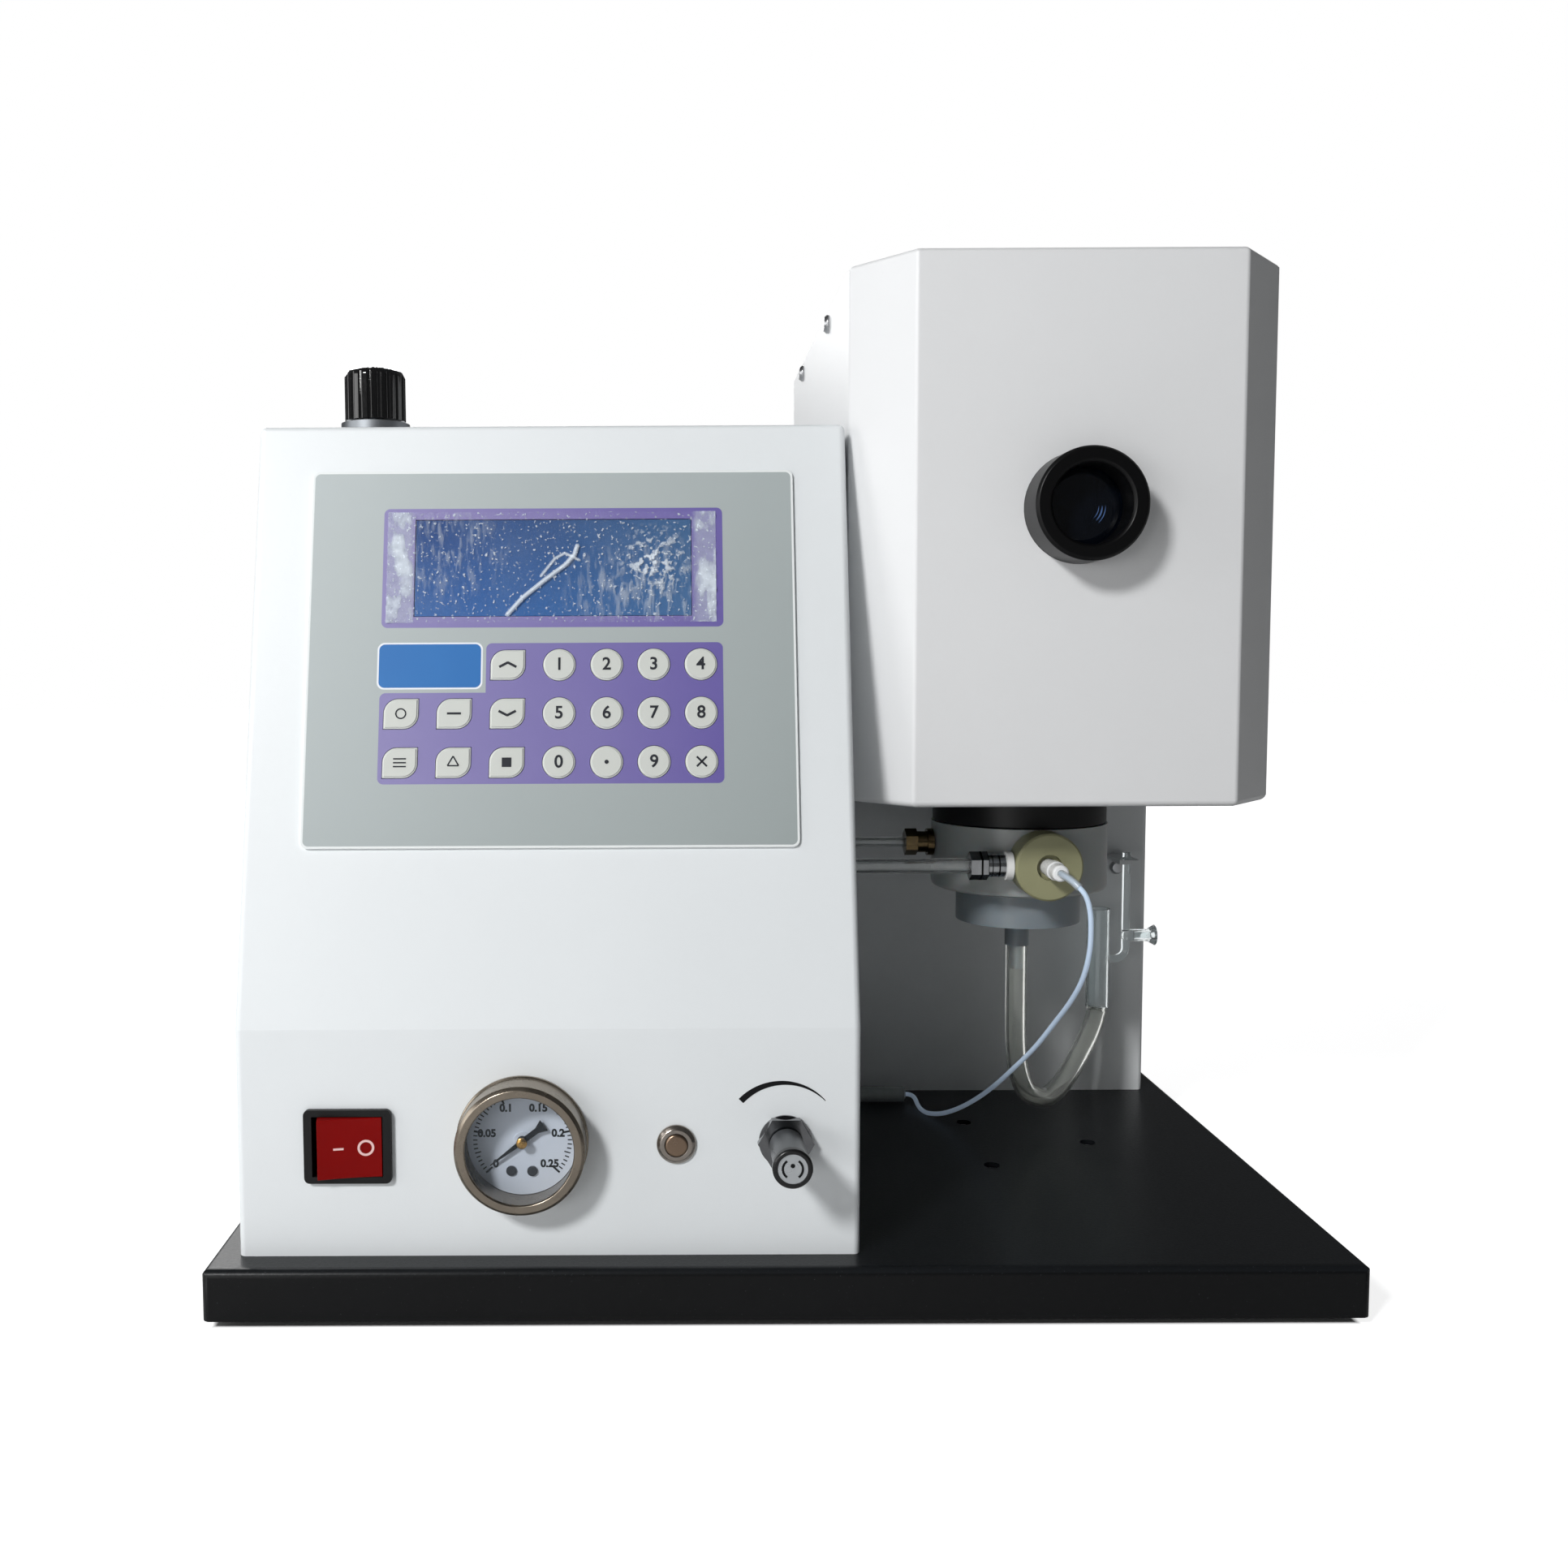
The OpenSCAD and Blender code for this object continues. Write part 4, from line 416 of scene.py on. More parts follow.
def slope_length(y, z):
    """The length s above the bend of a point, from its place in the frame."""
    return (y - FRONT_Y) * math.sin(PANEL_TILT) + (z - BEND_Z) * math.cos(PANEL_TILT)


print("front at", round(FRONT_Y, 4), "bend at", round(BEND_Z, 4))

# %% [markdown]
# ## Small helpers for pieces
# A finished piece sits at the origin with its place in its mesh, rides on a body and carries one
# finish. These few functions keep those last steps the same for all of them. Where a flat face
# meets a round edge, the shading is weighted by the faces' areas, so that the flat stays flat.

# %% Piece helpers
def clear_selection():
    if bpy.context.object and bpy.context.object.mode != "OBJECT":
        bpy.ops.object.mode_set(mode="OBJECT")
    bpy.ops.object.select_all(action="DESELECT")


def pick(piece):
    clear_selection()
    piece.select_set(True)
    bpy.context.view_layer.objects.active = piece


def settle(piece, name, body, finish, matrix=None, angle=35.0, even=False):
    """Bakes a piece's place into its mesh, smooths it and lets it ride."""
    pick(piece)
    if piece.type != "MESH":
        bpy.ops.object.convert(target="MESH")
        piece = bpy.context.object
    piece.data.transform((matrix or Matrix.Identity(4)) @ piece.matrix_basis)
    piece.matrix_basis = Matrix.Identity(4)
    piece.data.update()
    bpy.ops.object.shade_smooth_by_angle(angle=math.radians(angle))
    if even:
        normals = piece.modifiers.new("even_normals", "WEIGHTED_NORMAL")
        normals.keep_sharp = True
        normals.weight = 100
        bpy.ops.object.modifier_apply(modifier=normals.name)
    piece.name = name
    piece.data.materials.clear()
    piece.data.materials.append(finish.material)
    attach(piece, body)
    return piece


def body_of(node):
    return nodes[node]["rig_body"]


def refined(node, finish, edge_mm=0.0, angle=32.0, segments=2):
    """A copy of a CAD node with merged faces, smooth rounds and, if wanted, softly broken edges."""
    piece = bpy.data.objects.new(node + "_finished", nodes[node].data.copy())
    bpy.context.scene.collection.objects.link(piece)
    pick(piece)
    if piece.data.has_custom_normals:
        bpy.ops.mesh.customdata_custom_splitnormals_clear()
    bpy.ops.object.mode_set(mode="EDIT")
    bpy.ops.mesh.select_all(action="SELECT")
    bpy.ops.mesh.remove_doubles(threshold=0.000002)
    bpy.ops.mesh.dissolve_limited(angle_limit=math.radians(0.4))
    bpy.ops.object.mode_set(mode="OBJECT")
    if edge_mm:
        bevel = piece.modifiers.new("broken_edges", "BEVEL")
        bevel.width = edge_mm * MM
        bevel.segments = segments
        bevel.limit_method = "ANGLE"
        bevel.angle_limit = math.radians(angle)
        bpy.ops.object.modifier_apply(modifier=bevel.name)
    piece = settle(piece, node + "_finished", body_of(node), finish, angle=angle, even=True)
    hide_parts(node)
    return piece


def coat(finish, *names):
    """Gives CAD nodes a finish where their own shape is already right."""
    for name in names:
        slots = nodes[name].data.materials
        slots.clear()
        slots.append(finish.material)

# %% [markdown]
# ## The sample capillary
# The capillary is one limp plastic line of two millimetres. Its finish has a weak painted glow, a
# stand-in for light, so that the line stays pale in the shade. It leaves the nebuliser's tip,
# hangs in a wide bow and comes down to the tray, where a clear sleeve keeps its end clean. It could
# be simulated as a rope, but the picture shows its whole course, so its route is a list of places
# along it, and a smooth curve goes through them. The length is what that curve measures.

# %% Route of the capillary
CAPILLARY_ROUTE = [
    (109, -88.6, 147), (109.2, -92, 146.8), (110.8, -95.5, 145.6), (113.2, -98, 143.2),
    (115.4, -99, 140), (117, -98.5, 135), (118, -97, 128), (118.5, -94, 118), (118, -88, 107),
    (116.6, -78, 96), (114, -65, 84), (110.3, -50, 70), (106, -36, 58), (101, -22, 46),
    (95.6, -11, 36.6), (89.6, -1, 29), (84, 7, 24.2), (79, 13, 22.4), (76.9, 19.3, 22.2),
    (76.3, 25, 22.7), (76.2, 28.3, 23.3), (75.9, 31, 23.95), (75, 33.2, 24.4), (73.5, 34.3, 24.58),
    (72, 34.5, 24.6),
]
CAPILLARY_DIAMETER = 2.0 * MM


def smooth_route(route, steps):
    """Points on the smooth curve through a route's places, which are in millimetres."""
    spots = [Vector(p) for p in route]
    made = []
    for i in range(len(spots) - 1):
        a, b = spots[max(i - 1, 0)], spots[i]
        c, d = spots[i + 1], spots[min(i + 2, len(spots) - 1)]
        for j in range(steps):
            t = j / steps
            made.append(0.5 * (2 * b + (c - a) * t + (2 * a - 5 * b + 4 * c - d) * t * t
                               + (3 * b - a - 3 * c + d) * t ** 3))
    return [p * MM for p in made + [spots[-1]]]


def route_length(points):
    return sum((b - a).length for a, b in zip(points, points[1:]))


def drawn_tube(name, points, radius, sides=6):
    """A curve of one open line with a round section."""
    data = bpy.data.curves.new(name, "CURVE")
    data.dimensions = "3D"
    data.bevel_depth = radius
    data.bevel_resolution = sides
    data.use_fill_caps = True
    line = data.splines.new("POLY")
    line.points.add(len(points) - 1)
    for spot, place in zip(line.points, points):
        spot.co = (*place, 1.0)
    line.use_smooth = True
    piece = bpy.data.objects.new(name, data)
    bpy.context.scene.collection.objects.link(piece)
    return piece


# Painted light: the weak emission keeps the line pale in the shade; the line is no lamp.
capillary_finish = moulded("capillary_plastic", "#c9dcf2", 0.25, 0.8, variation=0.04,
                           Emission_Color=(0.60, 0.75, 0.95, 1.0), Emission_Strength=0.12)
capillary_points = smooth_route(CAPILLARY_ROUTE, 6)
capillary_length = route_length(capillary_points)
capillary = drawn_tube("sample_capillary", capillary_points, CAPILLARY_DIAMETER / 2)
capillary.data.materials.append(capillary_finish.material)
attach(capillary, "frame")
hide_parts("capillary_tube")
print("capillary length", round(capillary_length * 1000, 1), "mm")

# %% [markdown]
# ## The sleeve on its end and the collar at the tip
# The sleeve is a stub of clear tube lying on the tray. Its own solid has the right shape, so it only
# takes a clear finish. At the nebuliser a shorter stub grips the line over its first bend.

# %% Sleeve and grip
sleeve_finish = clear_plastic("clear_stub", "#c3c9c8", 0.15, 0.45)
coat(sleeve_finish, "capillary_sleeve")
GRIP_RADIUS = 1.55 * MM
GRIP_SPANS = 4
grip_points = smooth_route(CAPILLARY_ROUTE[:GRIP_SPANS], 6)
grip = drawn_tube("capillary_grip", grip_points, GRIP_RADIUS, 8)
grip = settle(grip, "capillary_grip", "frame", sleeve_finish)

# %% [markdown]
# ## The drain tube
# A clear soft tube hangs from the chamber's nipple in a J and comes up to the glass trap. What
# tells it from a rod is its wall: the edge looks dense and the middle lets the tower through. So it
# is swept open-ended along its route, and a Solidify modifier gives it the real wall.

# %% Drain tube
DRAIN_ROUTE = [
    (109, -23, 107), (109, -23, 92), (109.2, -22.5, 77), (110, -20.5, 63), (112, -17, 51),
    (116.5, -12, 41), (122, -7.5, 36.5), (128.5, -2, 34.5), (135.5, 4, 37), (142, 9.5, 43),
    (148, 15.5, 49.5), (153.5, 22, 55), (158, 28.5, 60), (160.8, 34, 63), (161.4, 35, 66),
]
DRAIN_RADIUS = 4.5 * MM
DRAIN_WALL = 1.5 * MM

drain_finish = clear_tubing("drain_plastic", "#eceeea", 0.07)
drain = drawn_tube("drain_hose", smooth_route(DRAIN_ROUTE, 5), DRAIN_RADIUS, 10)
drain.data.use_fill_caps = False
pick(drain)
bpy.ops.object.convert(target="MESH")
drain = bpy.context.object
bpy.ops.object.mode_set(mode="EDIT")
bpy.ops.mesh.select_all(action="SELECT")
bpy.ops.mesh.remove_doubles(threshold=0.00001)
bpy.ops.mesh.normals_make_consistent(inside=False)
bpy.ops.object.mode_set(mode="OBJECT")
wall = drain.modifiers.new("wall", "SOLIDIFY")
wall.thickness = DRAIN_WALL
wall.offset = -1.0
bpy.ops.object.modifier_apply(modifier="wall")
drain = settle(drain, "drain_hose", "frame", drain_finish, angle=60.0)
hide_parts("drain_tube")
print("drain tube", len(drain.data.polygons), "faces")

# %% [markdown]
# ## Housings
# The console, tower and hood are folded sheet under powder coat. Their folds are already round in
# the solid, so each is only merged, smoothed over its folds and painted.

# %% Painted housings
for name, finish, edge in [
        ("console_shell", white_paint, 0.0), ("console_back", white_paint, 0.2),
        ("tower_housing", tower_paint, 0.0), ("hood_shell", hood_paint, 0.0),
        ("hood_top", hood_paint, 0.0), ("base_plate", tray_coat, 0.0)]:
    refined(name, finish, edge)
deck_metal = turned_metal("deck_sheet", "#b9bcbf", 0.35, (1.0, 12.0, 1.0), 60.0)
refined("burner_deck", deck_metal, 0.2)
rubber = moulded("foot_rubber", "#111112", 0.75, 0.6, 0.00003, Specular_IOR_Level=0.25)
refined("rubber_feet", rubber, 0.5)
print("housings done")

# %% [markdown]
# ## Burner, chamber and nebuliser
# Under the hood hangs a black collar, a milky moulded chamber with a stepped bottom, and in front
# of it the olive nebuliser with its white tip. The chamber's plastic scatters light inside itself,
# which a little subsurface colour stands for.

# %% Burner group
CHAMBER_STEP_Z = 0.1312

milky = moulded("milky_plastic", "#9fa4a3", 0.3, 1.4, 0.00002, 0.09,
                Subsurface_Weight=0.25, Subsurface_Scale=0.004)
olive = moulded("olive_plastic", "#949371", 0.38, 0.6, 0.00001, 0.08)
tip_white = moulded("tip_plastic", "#f1f2f2", 0.28)
heat_brass = turned_metal("heat_stained_brass", "#8f8473", 0.35)
ceramic = moulded("glazed_ceramic", "#ded9cc", 0.25)
lens_finish = clear_plastic("lens_glass", "#0c1422", 0.05, 0.9, 1.5)
refined("burner_collar", black_plastic, 0.3)
milky_z = milky.place()[2]
on_step = ((CHAMBER_STEP_Z - milky_z) * 1500.0).clamped()
milky.set("Base Color", milky.mix(milky.base(), hex_colour("#76818a"), on_step * 0.75))
for name, finish, edge in [
        ("mixing_chamber", milky, 0.4), ("nebuliser_body", olive, 0.3),
        ("nebuliser_tip", tip_white, 0.2), ("burner_head", heat_brass, 0.2),
        ("chimney_tube", deck_metal, 0.0), ("spark_igniter", ceramic, 0.0)]:
    refined(name, finish, edge)
tube_black = moulded("tube_black", "#060607", 0.36, Specular_IOR_Level=0.22)
refined("viewing_tube", tube_black, 0.3)
# Painted reflection: pale blue arcs at the lens's lower right stand in for light glinting on it.
lens_x, _, lens_z = lens_finish.place()
lens_low, lens_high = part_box("viewing_lens")
lens_dx = lens_x - (lens_low.x + lens_high.x) / 2
lens_dz = lens_z - (lens_low.z + lens_high.z) / 2
lens_r = (lens_dx ** 2.0 + lens_dz ** 2.0).root()
lower_right = ((lens_dx * 0.93 - lens_dz * 0.37) / lens_r * 9.0 - 8.1).clamped()
painted_glint_arcs = 0.0
for r, half_width in [(5.6, 0.18), (6.8, 0.3), (8.0, 0.2)]:
    painted_glint_arcs = ((half_width * MM - abs(lens_r - r * MM)) * 9000.0).clamped() + painted_glint_arcs
lens_dark = hex_colour("#060a12")
painted_glint_blue = hex_colour("#5f7fb8")
lens_finish.set("Base Color", lens_finish.mix(lens_dark, painted_glint_blue, painted_glint_arcs * lower_right))
refined("viewing_lens", lens_finish)
refined("detector_block", black_plastic, 0.6)

# %% [markdown]
# ## Hoses, fittings and glass
# The air hose is clear and its fitting bright; the gas hose is thinner and its fitting is brass,
# painted dark for the shade it sits in further back. Dark rings across the bright fitting are painted
# shade: the shade in its grooves and the dark that its chrome reflects. One node holds the fittings,
# so the finish changes along X and towards the rear by place.

# %% Fittings
fitting_finish = Finish("fitting_metal", hex_colour("#c4c6c8"), 0.2, 1.0)
fit_x = fitting_finish.place()[0]
fit_marks = fitting_finish.noise(220.0, 3.0)
GAS_FITTING_END = 0.0735
AIR_RING_START = 0.0928
is_air = ((fit_x - GAS_FITTING_END) * 5000.0).clamped()
is_ring = ((fit_x - AIR_RING_START) * 8000.0).clamped()
# Painted shade: the gas fitting's brass is darkened for the shade it lies in.
brass_in_shade = fitting_finish.mix(hex_colour("#3a2f20"), hex_colour("#77664a"), fit_marks)
bright = fitting_finish.mix(hex_colour("#8c8e91"), hex_colour("#dcdee0"), fit_marks)
AIR_FITTING_START = 0.0763
# Painted shade: dark rings along the air fitting stand in for shade in its grooves and dark reflections in
# its chrome.
painted_groove_shade = 0.0
for place, half_width in [(6.95, 0.45), (13.9, 0.35), (9.6, 0.25), (11.2, 0.25)]:
    off = abs(fit_x - (AIR_FITTING_START + place * MM))
    painted_groove_shade = ((half_width * MM - off) * 9000.0).clamped() + painted_groove_shade
bright = fitting_finish.mix(bright, hex_colour("#1c1a18"), painted_groove_shade.clamped())
metal_colour = fitting_finish.mix(brass_in_shade, bright, is_air)
fitting_finish.set("Base Color", fitting_finish.mix(metal_colour, hex_colour("#f0f0ee"), is_ring))
fitting_finish.set("Metallic", 1.0 - is_ring)
fitting_finish.set("Roughness", fit_marks * 0.2 + 0.1)
refined("hose_fittings", fitting_finish, 0.25)
hose_finish = clear_tubing("clear_hose", "#f0f2f2", 0.05)
refined("supply_hoses", hose_finish)
glass_finish = clear_tubing("trap_glass", "#eef4f5", 0.04, 1.47)
refined("drain_trap", glass_finish, 0.2)

# %% [markdown]
# ## The printed panel
# A grey film with a purple frame round the display, a blue field and a purple keypad. It is one
# printed sheet, so its colours are drawn in the finish: a rounded rectangle is a distance measured
# in two lengths of the sheet, and a mask is where that distance is below zero. The blue field and
# the place of the mode keys' words stay bare.

# %% Panel print
panel = Finish("panel_print", hex_colour("#aeb6b6"), 0.45, Specular_IOR_Level=0.3)
panel_x, panel_y, panel_z = panel.place()
panel_s = slope_length(panel_y, panel_z)
PRINT_EDGE = 0.18 * MM


def printed_box(x0, x1, s0, s1, radius):
    """Mask of a rounded rectangle given by its edges, in millimetres."""
    half_w, half_h = (x1 - x0) / 2 * MM, (s1 - s0) / 2 * MM
    mid_x, mid_s = (x0 + x1) / 2 * MM, (s0 + s1) / 2 * MM
    r = radius * MM
    off_x = abs(panel_x - mid_x) - (half_w - r)
    off_s = abs(panel_s - mid_s) - (half_h - r)
    outside = (off_x.above(0.0) ** 2.0 + off_s.above(0.0) ** 2.0).root()
    distance = outside + off_x.above(off_s).below(0.0) - r
    return (0.5 - distance / PRINT_EDGE).clamped()


purple_share = ((panel_x + 0.1425) / 0.1235).clamped()
purple_cloud = panel.noise(24.0, 2.0) * 0.5
purple_depth = (purple_share * 0.75 + purple_cloud * 0.5).clamped()
purple = panel.mix(hex_colour("#8f88b6"), hex_colour("#61559e"), purple_depth)
grey_cloud = panel.noise(7.0, 2.0)
# Painted shade: the grey grows darker towards the lower right, where less light falls; a cloud adds tone.
painted_shade_fall = ((panel_x + 0.169) * 2.6 + (0.2019 - panel_s) * 2.2).clamped()
grey_shade_and_tone = (painted_shade_fall * 0.8 + grey_cloud * 0.2).clamped()
grey = panel.mix(hex_colour("#b8c0c1"), hex_colour("#8f9897"), grey_shade_and_tone)
inner = printed_box(-168.2, 6.2, 63.7, 201.1, 2.0)
colour = panel.mix(hex_colour("#e6eaea"), grey, inner)
display_frame = printed_box(-142.5, -19, 142.8, 187.6, 2.2)
keypad_low = printed_box(-142.5, -19.3, 85.7, 118.8, 2.2)
keypad = printed_box(-104.5, -19.3, 100, 137, 2.2).above(keypad_low)
colour = panel.mix(colour, purple, display_frame.above(keypad))
colour = panel.mix(colour, hex_colour("#e8ecf2"), printed_box(-143.6, -105.7, 120.1, 137.3, 2.6))
blue = panel.mix(hex_colour("#2268ae"), hex_colour("#2f78bc"), panel.noise(30.0, 2.0))
colour = panel.mix(colour, blue, printed_box(-143, -106.3, 120.7, 136.7, 2.2))
panel.set("Base Color", colour)
film_grain = panel.noise(1500.0, 1.0)
panel.set("Roughness", film_grain * 0.14 + 0.4)
panel.bump(film_grain, 0.00001, 0.3)
refined("membrane_panel", panel, 0.1, segments=1)
print("panel print has", len(panel.tree.nodes), "nodes")

# %% [markdown]
# ## Keys and their marks
# The keys are small domed caps. Numbers and arrows are plain marks that any keypad has, so they are
# made as thin raised ink that rides on its own key. The keys whose words aren't copied carry plain
# signs: a ring, a bar, a square, a triangle, three bars and a cross.

# %% Key caps
key_finish = moulded("key_film", "#cdd0cb", 0.36, 0.8, 0.00001, 0.03, Specular_IOR_Level=0.3)
ink = moulded("key_ink", "#2c2e34", 0.5, variation=0.2, Specular_IOR_Level=0.2)
KEY_COLUMNS = [-134.6, -115.6, -96.6, -78.1, -61.1, -44.2, -27.3]
KEY_ROWS = [93.4, 111.15, 128.9]
KEY_TOP = 1.8 * MM
INK_LIFT = 0.03 * MM
INK_DEPTH = 0.06 * MM
key_nodes = [name for name in nodes if name.startswith("key_")]
for name in key_nodes:
    refined(name, key_finish, 0.25, segments=3)
print(len(key_nodes), "keys")

# %% Ink helpers
def lettered(text, size, weight=0.02):
    """Flat text as a thin mesh, centred on the origin and thickened by a share of its size."""
    clear_selection()
    bpy.ops.object.text_add()
    piece = bpy.context.object
    piece.data.body = text
    piece.data.size = size
    piece.data.align_x = "CENTER"
    piece.data.align_y = "CENTER"
    piece.data.extrude = INK_DEPTH / 2
    piece.data.resolution_u = 4
    piece.data.offset = size * weight
    bpy.ops.object.convert(target="MESH")
    return bpy.context.object


def draw_out():
    """Draws the faces being edited out to the ink's depth, and leaves edit mode."""
    bpy.ops.mesh.select_all(action="SELECT")
    bpy.ops.mesh.extrude_region_move(TRANSFORM_OT_translate={"value": (0.0, 0.0, INK_DEPTH)})
    bpy.ops.mesh.select_all(action="SELECT")
    bpy.ops.mesh.normals_make_consistent(inside=False)
    bpy.ops.object.mode_set(mode="OBJECT")


def bar(width, height, x=0.0, y=0.0, angle=0.0):
    """A thin flat bar, as a plane drawn out into a plate."""
    clear_selection()
    bpy.ops.mesh.primitive_plane_add(size=1.0)
    piece = bpy.context.object
    place = Matrix.Translation((x, y, 0.0)) @ Matrix.Rotation(angle, 4, "Z")
    piece.data.transform(place @ Matrix.Diagonal((width, height, 1.0, 1.0)))
    bpy.ops.object.mode_set(mode="EDIT")
    draw_out()
    return piece


def ring_mark(radius, width, sides=32):
    """A flat ring: a circle filled, inset and opened, then drawn out."""
    clear_selection()
    bpy.ops.mesh.primitive_circle_add(vertices=sides, radius=radius, fill_type="NGON")
    piece = bpy.context.object
    bpy.ops.object.mode_set(mode="EDIT")
    bpy.ops.mesh.select_all(action="SELECT")
    bpy.ops.mesh.inset(thickness=width)
    bpy.ops.mesh.delete(type="FACE")
    draw_out()
    return piece


def arc_strip(radius, start, end, thick, thin, steps=48):
    """A flat strip round the origin between two angles in degrees, which thins along its way."""
    clear_selection()
    bpy.ops.mesh.primitive_grid_add(x_subdivisions=steps, y_subdivisions=1, size=1.0)
    piece = bpy.context.object
    for vertex in piece.data.vertices:
        share = vertex.co.x + 0.5
        angle = math.radians(start + (end - start) * share)
        width = thick + (thin - thick) * share ** 1.3
        r = radius + vertex.co.y * width
        vertex.co = (r * math.cos(angle) * MM, r * math.sin(angle) * MM, 0.0)
    plate = piece.modifiers.new("ink", "SOLIDIFY")
    plate.thickness = INK_DEPTH
    plate.offset = 1.0
    bpy.ops.object.modifier_apply(modifier="ink")
    return piece


def joined(pieces):
    clear_selection()
    for piece in pieces:
        piece.select_set(True)
    bpy.context.view_layer.objects.active = pieces[0]
    bpy.ops.object.join()
    return bpy.context.object


def chevron(up):
    """An arrow head of two slanting bars."""
    rise = math.radians(28 if up else -28)
    arm = 3.6 * MM
    reach = 1.5 * MM
    return joined([bar(arm, 0.9 * MM, -reach, 0.0, rise), bar(arm, 0.9 * MM, reach, 0.0, -rise)])


def triangle_mark(radius):
    """Three bars along the sides of an even triangle."""
    bars = []
    for turn_index in range(3):
        a = math.radians(90 + 120 * turn_index + 60)
        side = radius * math.sqrt(3)
        x, y = radius / 2 * math.cos(a), radius / 2 * math.sin(a)
        bars.append(bar(side, 0.5 * MM, x, y, a + math.pi / 2))
    return joined(bars)


def three_bars():
    return joined([bar(4.6 * MM, 0.5 * MM, 0.0, i * 1.4 * MM) for i in (-1, 0, 1)])


def cross_mark():
    return joined([bar(5.0 * MM, 0.7 * MM, angle=math.radians(a)) for a in (45, -45)])

# %% Key marks
DIGIT_SIZE = 6.4 * MM
MARKS = {
    "key_arrow_up": (2, 2, lambda: chevron(True)),
    "key_arrow_down": (2, 1, lambda: chevron(False)),
    "key_point": (4, 0, lambda: ring_mark(0.75 * MM, 0.7 * MM, 16)),
    "key_mode_1": (0, 1, lambda: ring_mark(2.0 * MM, 0.5 * MM)),
    "key_mode_2": (1, 1, lambda: bar(5.0 * MM, 0.8 * MM)),
    "key_mode_3": (0, 0, three_bars),
    "key_mode_4": (1, 0, lambda: triangle_mark(2.3 * MM)),
    "key_mode_5": (2, 0, lambda: bar(3.4 * MM, 3.4 * MM)),
    "key_clear": (6, 0, cross_mark),
}
DIGITS = {"1": (3, 2), "2": (4, 2), "3": (5, 2), "4": (6, 2), "5": (3, 1), "6": (4, 1), "7": (5, 1),
          "8": (6, 1), "0": (3, 0), "9": (5, 0)}
for digit, (column, row) in DIGITS.items():
    MARKS["key_" + digit] = (column, row, lambda digit=digit: lettered(digit, DIGIT_SIZE))
for name, (column, row, make) in MARKS.items():
    key_place = on_slope(KEY_COLUMNS[column] * MM, KEY_ROWS[row] * MM)
    place = key_place @ Matrix.Translation((0, 0, KEY_TOP + INK_LIFT))
    settle(make(), name + "_mark", body_of(name), ink, place)
print(len(MARKS), "key marks")

# %% [markdown]
# ## The display and its protective film
# Behind the window lies a dark blue display. The instrument still wears the thin film that
# protects it in transport: scuffed, creased across the middle and lifted at both ends. The film is a
# fine grid whose points rise by a sum of waves, with one sharp crease, and its finish is clear
# but for the scuffs, the pale lifted ends and a painted highlight along the creases.

# %% Display glass
display = Finish("display_blue", hex_colour("#1f4a84"), 0.3, Specular_IOR_Level=0.25)
disp_x, disp_y, disp_z = display.place()
disp_s = slope_length(disp_y, disp_z)
# Painted shade: the blue is darker towards the top, for the shadow of the window's edge, and lighter towards
# the right.
painted_top_shade = ((disp_s - 0.147) / 0.036).clamped()
blue_field = display.mix(hex_colour("#285c9e"), hex_colour("#163c78"), painted_top_shade)
to_right = ((disp_x + 0.105) * 14.0).clamped()
blue_field = display.mix(blue_field, hex_colour("#43698f"), to_right * 0.7)
cloudy = display.noise(26.0, 3.0)
display.set("Base Color", display.mix(blue_field, hex_colour("#4a6f9c"), (cloudy - 0.45).clamped()))
display.set("Roughness", cloudy * 0.2 + 0.22)
refined("display_module", display, 0.2)

# %% Protective film
FILM_EDGES = (-141.0, -21.5, 144.6, 186.2)
FILM_HEIGHT = 1.45 * MM
FILM_CELLS = (150, 56)
FILM_THICK = 0.12 * MM
CREASE = [(-96.9, 147.6), (-91.7, 153.6), (-83.4, 160.5), (-76.1, 166.1), (-72.9, 169.8), (-71.9, 173.1)]
SECOND_CREASE = [(-85.0, 162.0), (-80.0, 168.5), (-76.5, 170.5), (-71.5, 168.0)]


def film_rise(x, s):
    """How far the film stands off at a place of the sheet, in millimetres."""
    side = max(0.0, (abs(x + 80.6) - 50.0) / 10.0)
    ripple = 0.05 * math.sin(0.55 * x + 0.9 * math.sin(0.21 * s)) * math.sin(0.33 * s + 1.1)
    wrinkle = side * (0.45 * math.sin(1.35 * s + 0.4 * x) + 0.3 * math.sin(2.3 * s - 0.8 * x + 1.0))
    crease = 0.0
    for (xa, sa), (xb, sb) in zip(CREASE, CREASE[1:]):
        dx, ds = xb - xa, sb - sa
        share = min(1.0, max(0.0, ((x - xa) * dx + (s - sa) * ds) / (dx * dx + ds * ds)))
        away = math.hypot(x - xa - share * dx, s - sa - share * ds)
        crease = max(crease, 0.8 * math.exp(-away * away))
    return ripple + wrinkle + crease


clear_selection()
bpy.ops.mesh.primitive_grid_add(x_subdivisions=FILM_CELLS[0], y_subdivisions=FILM_CELLS[1], size=1.0)
film = bpy.context.object
x0, x1, s0, s1 = FILM_EDGES
for vertex in film.data.vertices:
    x = x0 + (vertex.co.x + 0.5) * (x1 - x0)
    s = s0 + (vertex.co.y + 0.5) * (s1 - s0)
    vertex.co = (x * MM, s * MM, FILM_HEIGHT + max(-0.1, film_rise(x, s)) * MM)
thickness = film.modifiers.new("sheet", "SOLIDIFY")
thickness.thickness = FILM_THICK
bpy.ops.object.modifier_apply(modifier="sheet")
film_finish = Finish("protective_film", hex_colour("#dfe8f2"), 0.3, Specular_IOR_Level=0.22)
film_x, film_y, film_z = film_finish.place()
film_s = slope_length(film_y, film_z)


